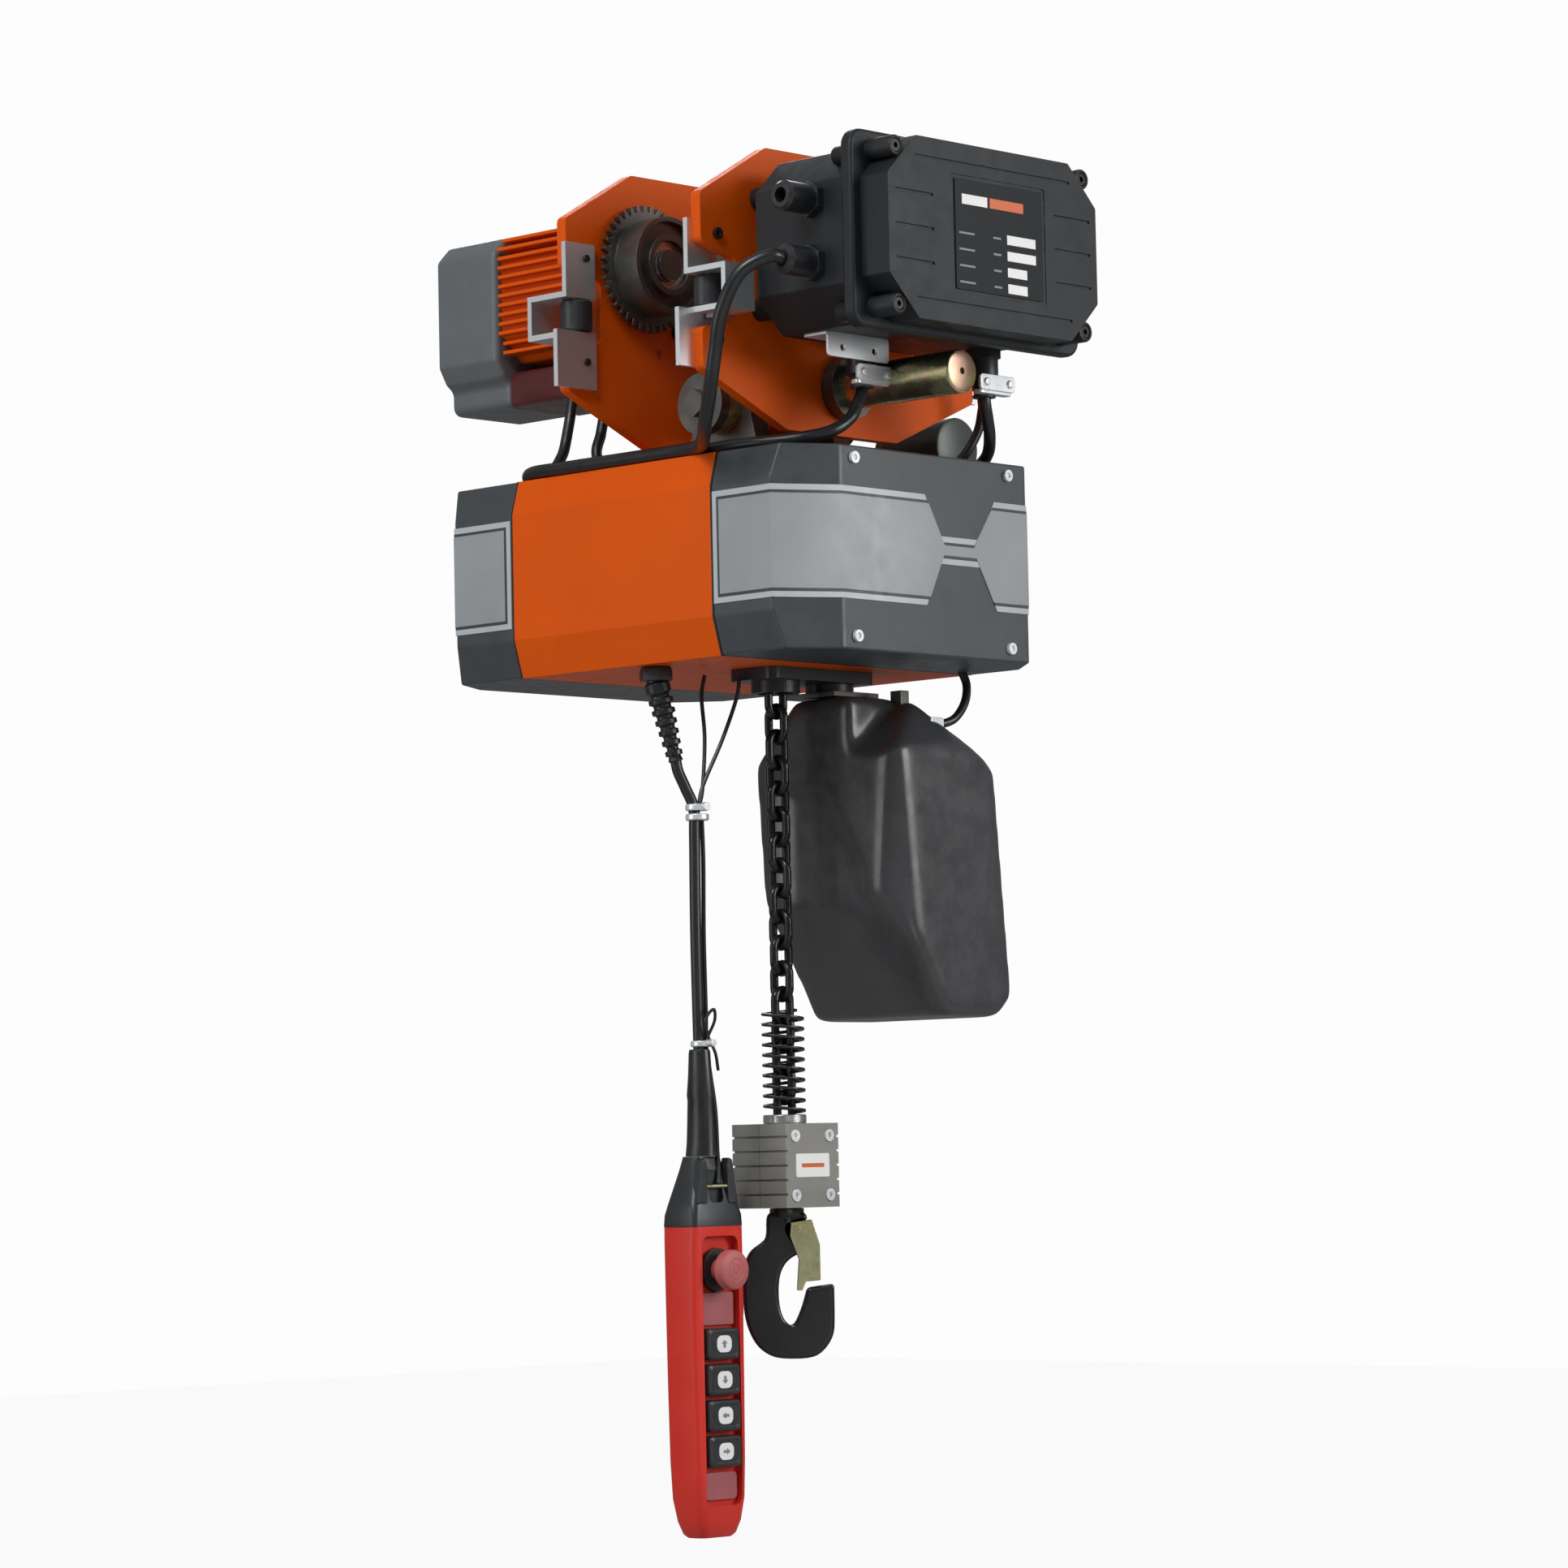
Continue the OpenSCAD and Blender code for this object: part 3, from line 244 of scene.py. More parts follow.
def rounded(points, radius, steps=3):
    """An outline with every corner rounded."""
    out = []
    count = len(points)
    for i in range(count):
        p, q, s = (Vector(points[(i + k) % count]) for k in (-1, 0, 1))
        a, b = (p - q).normalized(), (s - q).normalized()
        half = math.acos(max(-1.0, min(1.0, a.dot(b)))) / 2
        if half > math.radians(88):
            out.append(tuple(q))
            continue
        reach = radius / math.tan(half)
        centre = q + (a + b).normalized() * radius / math.sin(half)
        start, end = q + a * reach - centre, q + b * reach - centre
        t0 = math.atan2(start.y, start.x)
        turn = (math.atan2(end.y, end.x) - t0 + 3 * math.pi) % (2 * math.pi) - math.pi
        for k in range(steps + 1):
            t = t0 + turn * k / steps
            out.append(tuple(centre + radius * Vector((math.cos(t), math.sin(t)))))
    return out


def rect(w, h, c=(0, 0)):
    return [(c[0] + sx * w / 2, c[1] + sy * h / 2) for sx, sy in ((-1, -1), (1, -1), (1, 1), (-1, 1))]


def octagon(w, h, cut, c=(0, 0)):
    a, b = w / 2, h / 2
    half = [(a - cut, -b), (a, cut - b), (a, b - cut), (a - cut, b)]
    return [(c[0] + x, c[1] + y) for x, y in half + [(-x, y) for x, y in reversed(half)]]


def mirrored(half):
    return half + [(-x, y) for x, y in reversed(half)]


def skin(bm, rings, capped=True):
    """Faces between neighbouring rings of vertices, with both ends closed if capped."""
    faces = []
    for a, b in zip(rings, rings[1:]):
        for i in range(len(a)):
            j = (i + 1) % len(a)
            faces.append(bm.faces.new((a[i], a[j], b[j], b[i])))
    if capped:
        faces += [bm.faces.new(rings[0]), bm.faces.new(list(reversed(rings[-1])))]
    bmesh.ops.recalc_face_normals(bm, faces=faces)
    return bm


def prism(outline, axis, lo, hi, bm=None):
    """A closed prism of a flat outline, from lo to hi along axis."""
    bm = bm or bmesh.new()
    a = [bm.verts.new(put(axis, u, v, lo)) for u, v in outline]
    b = [bm.verts.new(put(axis, u, v, hi)) for u, v in outline]
    faces = [bm.faces.new(a), bm.faces.new(list(reversed(b)))]
    for i in range(len(a)):
        j = (i + 1) % len(a)
        faces.append(bm.faces.new((a[i], b[i], b[j], a[j])))
    bmesh.ops.recalc_face_normals(bm, faces=faces)
    return bm


def loft(sections):
    """A closed skin through rings of points, all of one length, given in millimetres."""
    bm = bmesh.new()
    rings = [[bm.verts.new(Vector(p) * MM) for p in ring] for ring in sections]
    return skin(bm, rings)


def axis_matrix(origin, direction):
    turn = Vector(direction).to_track_quat("Z", "Y").to_matrix().to_4x4()
    return Matrix.Translation(Vector(origin) * MM) @ turn


def lathe(profile, origin, direction, sides=40, bm=None):
    """A turned piece: (radius, height) pairs about a line. A zero radius at either end closes it."""
    bm = bm or bmesh.new()
    place = axis_matrix(origin, direction)
    rings = []
    for r, h in profile:
        if r == 0:
            rings.append([bm.verts.new(place @ (Vector((0, 0, h)) * MM))])
        else:
            rings.append([bm.verts.new(place @ (Vector((x, y, h)) * MM)) for x, y in ellipse(r, r, sides)])
    faces = []
    for a, b in zip(rings, rings[1:]):
        for k in range(sides):
            m = (k + 1) % sides
            if len(a) == 1:
                faces.append(bm.faces.new((a[0], b[m], b[k])))
            elif len(b) == 1:
                faces.append(bm.faces.new((a[k], a[m], b[0])))
            else:
                faces.append(bm.faces.new((a[k], a[m], b[m], b[k])))
    if len(rings[0]) > 1:
        faces.append(bm.faces.new(list(reversed(rings[0]))))
    if len(rings[-1]) > 1:
        faces.append(bm.faces.new(rings[-1]))
    bmesh.ops.recalc_face_normals(bm, faces=faces)
    return bm


def spline(points, per=10):
    """Points along a smooth curve through the given points."""
    pts = [Vector(p) for p in points]
    pts = [pts[0] * 2 - pts[1]] + pts + [pts[-1] * 2 - pts[-2]]
    out = []
    for i in range(1, len(pts) - 2):
        a, b, c, d = pts[i - 1:i + 3]
        for k in range(per):
            t = k / per
            out.append(0.5 * (2 * b + (c - a) * t + (2 * a - 5 * b + 4 * c - d) * t * t
                              + (3 * b - a - 3 * c + d) * t * t * t))
    return out + [pts[-2]]


def sweep(path, section):
    """A section of (u, v) points swept along a path without twist."""
    bm = bmesh.new()
    path = [Vector(p) for p in path]
    count = len(path)
    tangents = [(path[min(i + 1, count - 1)] - path[max(i - 1, 0)]).normalized() for i in range(count)]
    side = tangents[0].orthogonal().normalized()
    rings = []
    for p, t in zip(path, tangents):
        side = (side - t * side.dot(t)).normalized()
        up = t.cross(side)
        rings.append([bm.verts.new((p + side * u + up * v) * MM) for u, v in section])
    return skin(bm, rings)


def ellipse(a, b, sides):
    return [(a * math.cos(2 * math.pi * k / sides), b * math.sin(2 * math.pi * k / sides))
            for k in range(sides)]


def circle(r, sides=14):
    return ellipse(r, r, sides)


def new_object(name, data):
    obj = bpy.data.objects.new(name, data)
    scene.collection.objects.link(obj)
    return obj


def cut(obj, cutter_bm):
    """Takes the cutter's volume out of obj, now."""
    mesh = bpy.data.meshes.new("cutter")
    cutter_bm.to_mesh(mesh)
    tool = new_object("cutter", mesh)
    mod = obj.modifiers.new("cut", "BOOLEAN")
    mod.operation = "DIFFERENCE"
    mod.solver = "EXACT"
    mod.object = tool
    bake(obj)
    bpy.data.objects.remove(tool)


def bake(obj):
    """Applies obj's modifiers to its mesh."""
    graph = bpy.context.evaluated_depsgraph_get()
    graph.update()
    mesh = bpy.data.meshes.new_from_object(obj.evaluated_get(graph))
    obj.modifiers.clear()
    obj.data = mesh


def round_edges(obj, width, segments=3, angle=30):
    """Bevels obj's edges that turn by more than angle degrees; width in millimetres."""
    mod = obj.modifiers.new("bevel", "BEVEL")
    mod.width, mod.segments, mod.limit_method = width * MM, segments, "ANGLE"
    mod.angle_limit, mod.harden_normals = math.radians(angle), True


def piece(name, bm, look, body=None, bevel=0.0, segments=3, stands_for="", angle=8.0):
    """Turns a bmesh into a piece with its look, bevelled edges and the body it rides on."""
    mesh = bpy.data.meshes.new(name)
    bm.to_mesh(mesh)
    bm.free()
    obj = new_object(name, mesh)
    mesh.materials.append(MATERIALS[look])
    for poly in mesh.polygons:
        poly.use_smooth = True
    if bevel:
        round_edges(obj, bevel, segments, angle)
    else:
        mesh.set_sharp_from_angle(angle=SHARP)
    if body:
        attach(obj, body)
    if stands_for:
        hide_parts(stands_for)
    return obj


# ---------------------------------------------------------------- CAD nodes that stay as they are

CAD_LOOKS = {
    "orange": ["near_side_plate", "far_side_plate"],
    "yellow_zinc": ["suspension_block", "hook_latch"],
    "dark_steel": ["shaft_collars", "bar_end_caps", "wheel_axles", "near_left_wheel", "near_right_wheel",
                   "far_left_wheel", "far_right_wheel", "suspension_lugs"],
    "bolt_black": ["plate_screws", "lid_screws"],
    "steel": ["wheel_bearings", "roller_pins", "drive_pinion", "load_wheel", "final_gear", "motor_rotor"],
    "screw_bright": ["cap_screws", "block_screws"],
    "plastic": ["chain_guide", "cable_glands"],
    "rubber": ["lid_gasket"],
    "cast": ["gear_frame", "motor_stator"],
    "chain": ["wheel_chain", "load_chain"],
}


def dress_cad_nodes():
    for look, names in CAD_LOOKS.items():
        for name in names:
            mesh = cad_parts[name].data
            mesh.materials.clear()
            mesh.materials.append(MATERIALS[look])


# ---------------------------------------------------------------- hoist body

BODY_X = (-130.6, 185.0)
BODY_Z = (-221.0, -58.0)
SECTION_Y = (-58.0, 172.0)
NEAR_FACE, FAR_FACE = -152.0, 270.0
LEFT_CUT, RIGHT_CUT = (51.0, 29.0), (43.0, 50.0)
CHAIN_HOLES = (0.0, 64.63)


def body_section(inset=0.0):
    a, b = BODY_X[0] + inset, BODY_X[1] - inset
    u, t = BODY_Z[0] + inset, BODY_Z[1] - inset
    return [(a + 9, u), (b - 9, u), (b, u + 31), (b, t - 28), (b - 8, t), (a + 8, t), (a, t - 28),
            (a, u + 31)]


def build_housing():
    bm = bmesh.new()
    rings = [[bm.verts.new(put("y", x, z, y)) for x, z in body_section(inset)]
             for y, inset in ((SECTION_Y[0], 0), (SECTION_Y[1], 0), (SECTION_Y[1], 5), (SECTION_Y[0], 5))]
    skin(bm, rings + rings[:1], capped=False)
    obj = piece("housing_shell", bm, "orange", "hoist", stands_for="body_housing")
    for x in CHAIN_HOLES:
        cut(obj, lathe([(19, -230), (19, -210)], (x, 0, 0), AXIS_Z, 48))
    round_edges(obj, 1.4, 3, 9)


def slice_off(bm, point, normal):
    """Cuts bm by a plane, drops what lies on the normal's side and closes the hole."""
    bmesh.ops.bisect_plane(bm, geom=bm.verts[:] + bm.edges[:] + bm.faces[:],
                           plane_co=point, plane_no=normal, clear_outer=True)
    bmesh.ops.holes_fill(bm, edges=[e for e in bm.edges if e.is_boundary], sides=0)


def cap_solid(joint, face):
    bm = prism(body_section(), "y", min(joint, face), max(joint, face))
    s = 1 if face > joint else -1
    for corner_x, side, (dx, dy) in ((BODY_X[0], -1, LEFT_CUT), (BODY_X[1], 1, RIGHT_CUT)):
        slice_off(bm, put("y", corner_x, 0, face - s * dy), Vector((side * dy, s * dx, 0)).normalized())
    bmesh.ops.dissolve_limit(bm, angle_limit=0.002, verts=bm.verts, edges=bm.edges)
    bmesh.ops.recalc_face_normals(bm, faces=bm.faces)
    return bm


def band_outline(path_len, s0, inset):
    """The band's outline in (distance along the cap, height), closed at both joints, pinched on the face.

    s0 is the distance along the cap to the face's left corner.
    """
    top, bottom, waist_top, waist_low = -89.4 - inset, -182.0 + inset, -122.0 - inset, -147.5 + inset
    slope = inset * 0.62
    upper = [(inset, top), (s0 + 97 + slope, top), (s0 + 115 + slope, waist_top),
             (s0 + 161 - slope, waist_top), (s0 + 183 - slope, top), (path_len - inset, top)]
    lower = [(path_len - inset, bottom), (s0 + 184 - slope, bottom), (s0 + 164 - slope, waist_low),
             (s0 + 114 + slope, waist_low), (s0 + 97 + slope, bottom), (inset, bottom)]
    return upper + lower


def cap_path(joint, face):
    """The cap's plan outline from the left joint round the end face to the right joint."""
    s = 1 if face > joint else -1
    return [Vector(p) for p in ((BODY_X[0], joint), (BODY_X[0], face - s * LEFT_CUT[1]),
                                (BODY_X[0] + LEFT_CUT[0], face), (BODY_X[1] - RIGHT_CUT[0], face),
                                (BODY_X[1], face - s * RIGHT_CUT[1]), (BODY_X[1], joint))]


def band_sheet(name, joint, face, inset, height, look):
    """One layer of the band: its outline bent round the cap and raised by height."""
    path = cap_path(joint, face)
    lengths = [(b - a).length for a, b in zip(path, path[1:])]
    stops = [sum(lengths[:i]) for i in range(len(path))]
    bm = bmesh.new()
    outline = band_outline(stops[-1], stops[2], inset)
    bm.faces.new([bm.verts.new((u, v, 0)) for u, v in outline])
    for s in stops[1:-1]:
        bmesh.ops.bisect_plane(bm, geom=bm.verts[:] + bm.edges[:] + bm.faces[:],
                               plane_co=(s, 0, 0), plane_no=(1, 0, 0))
    middle = Vector(((BODY_X[0] + BODY_X[1]) / 2, (joint + face) / 2))

    def outward(i):
        d = (path[i + 1] - path[i]).normalized()
        n = Vector((d.y, -d.x))
        return n if n.dot(path[i] - middle) > 0 else -n

    def lifted(s, h):
        i = max(k for k in range(len(lengths)) if s >= stops[k] - 1e-6)
        p = path[i] + (path[i + 1] - path[i]) * ((s - stops[i]) / lengths[i])
        n = outward(i)
        for k in range(1, len(path) - 1):
            if abs(s - stops[k]) < 1e-3:
                a, b = outward(k - 1), outward(k)
                n = (a + b) / (1 + a.dot(b))
                p = path[k]
        return p + n * h
    top_of, low_of = {}, {}
    out = bmesh.new()
    for v in bm.verts:
        for store, h in ((top_of, height), (low_of, -0.3)):
            q = lifted(v.co.x, h)
            store[v] = out.verts.new(Vector((q.x, q.y, v.co.y)) * MM)
    for f in bm.faces:
        out.faces.new([top_of[v] for v in f.verts])
        out.faces.new([low_of[v] for v in reversed(f.verts)])
    for e in bm.edges:
        if e.is_boundary:
            a, b = e.verts
            out.faces.new((top_of[a], top_of[b], low_of[b], low_of[a]))
    bm.free()
    bmesh.ops.recalc_face_normals(out, faces=out.faces)
    return piece(name, out, look, "hoist")


def build_caps():
    for name, joint in (("near_seam", SECTION_Y[0]), ("far_seam", SECTION_Y[1])):
        piece(name, prism(body_section(-0.12), "y", joint - 0.9, joint + 0.9), "rubber", "hoist")
    for side, joint, face in (("near", SECTION_Y[0] - 0.2, NEAR_FACE), ("far", SECTION_Y[1] + 0.2, FAR_FACE)):
        piece(f"{side}_cap_casting", cap_solid(joint, face), "slate", "hoist", bevel=2.0, segments=4,
              stands_for=f"{side}_end_cap")
        # A painted highlight on the band's bevelled edge.
        band_sheet(f"{side}_band_bevel_highlight", joint, face, 1.5, 0.55, "band_painted_highlight")
        # A painted shade of the groove inside the border.
        band_sheet(f"{side}_band_painted_groove_shade", joint, face, 6.2, 0.70, "band_painted_shade")
        band_sheet(f"{side}_band_panel", joint, face, 8.6, 0.95, "band_grey")


# ---------------------------------------------------------------- junction box

BOX_C = (0.0, 100.0)
LID_CORNERS = [(x, 100 + z) for x in (-111, 111) for z in (-62, 62)]


def build_junction_box():
    bm = prism(rounded(octagon(250, 139, 28, BOX_C), 4, 4), "y", -206.5, -109)
    body = piece("box_shell", bm, "box", "trolley", stands_for="junction_box")
    cut(body, prism(octagon(242, 131, 26, BOX_C), "y", -215, -113))
    for z in (78, 128):
        cut(body, lathe([(10.05, -5), (10.05, 12)], (-129, -170, z), AXIS_X))
    for x, y in ((-33, -134), (85, -160)):
        cut(body, lathe([(10.05, -5), (10.05, 12)], (x, y, 27), AXIS_Z))
    round_edges(body, 1.6, 3, 25)
    posts = bmesh.new()
    for x in (-95, 95):
        for z in (55, 145):
            lathe([(5.5, 0), (9, 0.6), (9, 27), (5.5, 27.5)], (x, -109.2, z), AXIS_Y, 32, posts)
    for x, z in LID_CORNERS:
        lathe([(8, 0), (8, 20), (7, 22)], (x, -206.5, z), AXIS_Y, 32, posts)
    piece("box_posts", posts, "box", "trolley")


def build_lid():
    flange = prism(rounded(rect(269, 156, BOX_C), 14, 6), "y", -221, -209)
    piece("lid_flange", flange, "box", "trolley", bevel=3.2, segments=4, stands_for="box_lid", angle=30)
    raised = prism(rounded(octagon(248, 144, 33, BOX_C), 3, 3), "y", -250, -214)
    face = piece("lid_face", raised, "box", "trolley")
    tools = bmesh.new()
    for s in (-1, 1):
        prism(rect(184, 2.2, (0, 100 + 56 * s)), "y", -252, -248.6, tools)
        for k in (-1, 0, 1):
            prism(rect(44, 2.2, (s * 94, 100 + 27 * k)), "y", -252, -248.6, tools)
    prism(rounded(rect(112, 94, (5, 100)), 2, 2), "y", -252, -249.3, tools)
    cut(face, tools)
    round_edges(face, 1.1, 3, 35)
    posts = bmesh.new()
    for x, z in LID_CORNERS:
        lathe([(8.4, 0), (8.4, 26), (7.8, 27.6), (5.6, 28), (5.4, 27), (5.4, 20), (0, 20)],
              (x, -220, z), MINUS_Y, 36, posts)
        # The web that ties each screw post to the raised face.
        sx, sz = (1 if x > 0 else -1), (1 if z > 100 else -1)
        web = [(x + u * sx, z + v * sz) for u, v in ((-5, -15), (2, -12), (-12, 2), (-15, -5))]
        prism(web, "y", -240, -219, posts)
    piece("lid_posts", posts, "box", "trolley", bevel=0.5, segments=2, angle=35)


def build_nameplate():
    piece("nameplate", prism(rounded(rect(104, 88, (5, 100)), 1.5, 2), "y", -250.5, -249.5), "plate_dark",
          "trolley", bevel=0.15, segments=1)
    bars = bmesh.new()
    for k, w in enumerate((34, 34, 23, 23)):
        prism(rect(w, 7.5, (19 + w / 2 - 5, 101 - 13.0 * k)), "y", -250.75, -250.3, bars)
    prism(rect(30, 8, (-24, 128)), "y", -250.75, -250.3, bars)
    piece("nameplate_fields", bars, "white", "trolley")
    accent = prism(rect(40, 8, (14, 128)), "y", -250.75, -250.3)
    piece("nameplate_accent", accent, "print_orange", "trolley")
    lines = bmesh.new()
    for k in range(4):
        prism(rect(18, 1.6, (-34, 101 - 13.0 * k)), "y", -250.7, -250.3, lines)
        prism(rect(9, 1.6, (2, 101 - 13.0 * k)), "y", -250.7, -250.3, lines)
    piece("nameplate_lines", lines, "print_grey", "trolley")


# ---------------------------------------------------------------- trolley drive and shaft

def drive_outline():
    return mirrored([(42, 22), (42, 42), (50, 48), (58, 62), (58, 154), (44, 168)])


def build_drive():
    gearbox = prism(rounded(drive_outline(), 5), "y", 81.5, 154.9)
    prism(rounded(rect(84, 30, (0, 37)), 4), "y", 153, 263.9, gearbox)
    piece("gearbox_casting", gearbox, "dark_red", "trolley", bevel=1.6, angle=25, stands_for="drive_gearbox")
    core = prism(rounded(octagon(102, 106, 22, (0, 113.5)), 6), "y", 155, 263.9)
    piece("motor_core", core, "orange", "trolley", bevel=0.6, angle=40, stands_for="drive_motor_housing")
    fins = bmesh.new()
    for k in range(13):
        z = 66 + 8 * k
        half = 57 if 74 < z < 156 else 52
        prism(rect(2 * half, 3.2, (0, z + 1.6)), "y", 157, 262, fins)
    piece("motor_fins", fins, "orange", "trolley", bevel=0.7, segments=2, angle=30)
    cap = prism(rounded(drive_outline(), 8, 4), "y", 264, 338)
    piece("motor_end_cap", cap, "motor_cap", "trolley", bevel=5.0, segments=5, angle=30,
          stands_for="drive_motor_cap")


def build_shaft():
    shaft = lathe([(16.5, -212), (17.5, -210.5), (17.5, 128.5), (16.5, 130)], ORIGIN, AXIS_Y, 64)
    obj = piece("cross_shaft_bar", shaft, "yellow_zinc", "trolley", stands_for="cross_shaft")
    cut(obj, lathe([(3, -20), (3, 20)], (0, -199, 0), AXIS_Z, 24))
    cut(obj, lathe([(2.7, -2), (2.7, 9)], (0, -212, 0), AXIS_Y, 24))
    disc = lathe([(0, -212.35), (15.6, -212.35), (16.4, -212.0), (16.4, -211.6), (0, -211.6)], (0, 0, 0),
                 (0, 1, 0), 56)
    end = piece("shaft_end_face", disc, "pink_zinc", "trolley")
    cut(end, lathe([(2.7, -2), (2.7, 9)], (0, -213, 0), AXIS_Y, 24))
    end.data.set_sharp_from_angle(angle=SHARP)


# ---------------------------------------------------------------- chain container

def soft_convex(planes, box):
    """A convex solid: a box in millimetres cut by (point, outward normal) planes."""
    (x0, x1), (y0, y1), (z0, z1) = box
    bm = prism([(x0, y0), (x1, y0), (x1, y1), (x0, y1)], "z", z0, z1)
    for point, normal in planes:
        slice_off(bm, Vector(point) * MM, Vector(normal).normalized())
    bmesh.ops.recalc_face_normals(bm, faces=bm.faces)
    return bm


def join(obj, bm):
    """Adds a bmesh to obj's mesh."""
    mesh = bpy.data.meshes.new("part")
    bm.to_mesh(mesh)
    bm.free()
    whole = bmesh.new()
    whole.from_mesh(obj.data)
    whole.from_mesh(mesh)
    whole.to_mesh(obj.data)
    whole.free()


def build_container():
    """Blow-moulded chain container: a deep box with slanting foot and corner, a shoulder and a neck."""
    foot = ((30, 0, -408), (-100, 0, -54))
    corner_top = ((30, -92.5, -300), (-1, -1, -0.09))
    corner_foot = ((84, -92, -508), (-1.0, -0.72, -0.62))
    shell = soft_convex([foot, corner_top, corner_foot, ((156, 0, -318), (172, 0, 14)),
                         ((0, 57, -296), (0, 113, -7)), ((0, 50, -508), (0, 1, -0.25)),
                         ((166, 0, -495), (1, 0, -1.1)), ((140, 0, -292), (0.9, 0, 1)),
                         ((0, 40, -284), (0, 0.7, 1))],
                        ((30, 171), (-103, 58), (-508, -290)))
    obj = piece("container_shell", shell, "container", "hoist", stands_for="chain_container")
    recess = soft_convex([((0, -22, -322), (0, -0.9, 0.6)), ((0, -60, -420), (0, -0.9, -1.0)),
                          ((0, 22, -420), (0, 0.8, -1.0))], ((26, 34.5), (-64, 24), (-444, -318)))
    cut(obj, recess)
    shoulder = soft_convex([((0, -103, -289), (0, -0.78, 0.62)), ((33, 0, -291), (-0.62, 0, 0.78)),
                            ((30, -92.5, -291), (-1, -1, 0)), ((98, 0, -254), (0.62, 0, 0.62))],
                           ((30, 139), (-102, 30), (-300, -247)))
    join(obj, shoulder)
    neck = soft_convex([((0, 20, -252), (0, 0.8, 1)), ((0, 52, -290), (0, 1, 0.9))],
                       ((30.5, 86), (-53, 56), (-300, -244)))
    join(obj, neck)
    mod = obj.modifiers.new("skin", "REMESH")
    mod.mode, mod.voxel_size, mod.use_smooth_shade = "VOXEL", 2.3 * MM, True
    mod = obj.modifiers.new("soften", "SMOOTH")
    mod.factor, mod.iterations = 0.5, 56
    bake(obj)
    strap = bmesh.new()
    prism([(38, -243), (92, -243), (92, -238.5), (38, -238.5)], "y", -30, 24, strap)
    prism([(84, -254), (94, -254), (94, -238.5), (84, -238.5)], "y", -62, -50, strap)
    piece("container_hanger", strap, "dark_steel", "hoist", bevel=0.6, segments=2)


# ---------------------------------------------------------------- load side

def build_spring():
    turns, per, top, pitch = 10, 36, -499.6, 8.3
    path = [(2 * math.pi * i / per, top - pitch * i / per) for i in range(turns * per + 1)]
    bm = bmesh.new()
    section = rounded([(13.0, -1.5), (17.5, -1.1), (17.5, 1.1), (13.0, 1.5)], 0.6, 2)
    rings = [[bm.verts.new(Vector((u * math.cos(a), u * math.sin(a), z + v)) * MM) for u, v in section]
             for a, z in path]
    piece("buffer_coil", skin(bm, rings), "rubber", "hook_block", stands_for="buffer_spring")
    ring = lathe([(13.2, -591.9), (13.2, -584.8), (17.0, -584.6), (17.6, -585.4), (17.6, -591.2),
                  (17.0, -591.9)], ORIGIN, AXIS_Z, 48)
    piece("buffer_seat", ring, "steel", "hook_block")


def ribbed_half(sy):
    """One half of the hook block: an outline with six ribs down each side, as one solid."""
    z0, z1, count, notch = -660.0, -592.0, 6, 1.7
    pitch = (z1 - z0 + notch) / count
    side = []
    for k in range(count):
        a, b = z0 + pitch * k, z0 + pitch * (k + 1) - notch
        side += [(31, a), (31, b)]
        if k < count - 1:
            side += [(28.8, b), (28.8, b + notch)]
    outline = side + [(-x, z) for x, z in reversed(side)]
    lo, hi = sorted((sy * 0.3, sy * 30))
    return prism(outline, "y", lo, hi)


def build_block():
    z0, z1 = -660, -592
    for side, sy in (("front", -1), ("rear", 1)):
        obj = piece(f"block_{side}_half", ribbed_half(sy), "block", "hook_block")
        cut(obj, lathe([(13.5, 0), (13.5, 34)], (0, 0, z1 - 32), AXIS_Z, 40))
        cut(obj, lathe([(10.4, -1), (10.4, 24)], (0, 0, z0), AXIS_Z, 36))
        for sx in (-1, 1):
            for z in (z0 + 10, z1 - 10):
                cut(obj, lathe([(5.3, -1), (5.3, 3.6)], (20 * sx, sy * 30.1, z), (0, -sy, 0), 28))
        round_edges(obj, 0.6, 2)
        if sy < 0:
            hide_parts("hook_block")
    label = prism(rounded(rect(39, 19, (0, -626)), 1.2, 2), "y", -30.4, -29.8)
    piece("block_label", label, "white", "hook_block", bevel=0.12, segments=1)
    stripe = prism(rect(26, 3.2, (0, -626)), "y", -30.6, -30.2)
    piece("block_label_stripe", stripe, "print_orange", "hook_block")


HOOK_YAW = math.radians(-45)


def turn_hook(bm):
    bmesh.ops.rotate(bm, verts=bm.verts, cent=(0, 0, 0), matrix=Matrix.Rotation(HOOK_YAW, 3, "Z"))
    return bm


def smooth_outline(points, keep, rounds=2):
    """Cuts an outline's corners again and again, apart from the ones to keep."""
    for _ in range(rounds):
        out = []
        count = len(points)
        for i, p in enumerate(points):
            if p in keep:
                out.append(p)
                continue
            for q in (points[i - 1], points[(i + 1) % count]):
                out.append((p[0] * 0.75 + q[0] * 0.25, p[1] * 0.75 + q[1] * 0.25))
        points = out
    return points


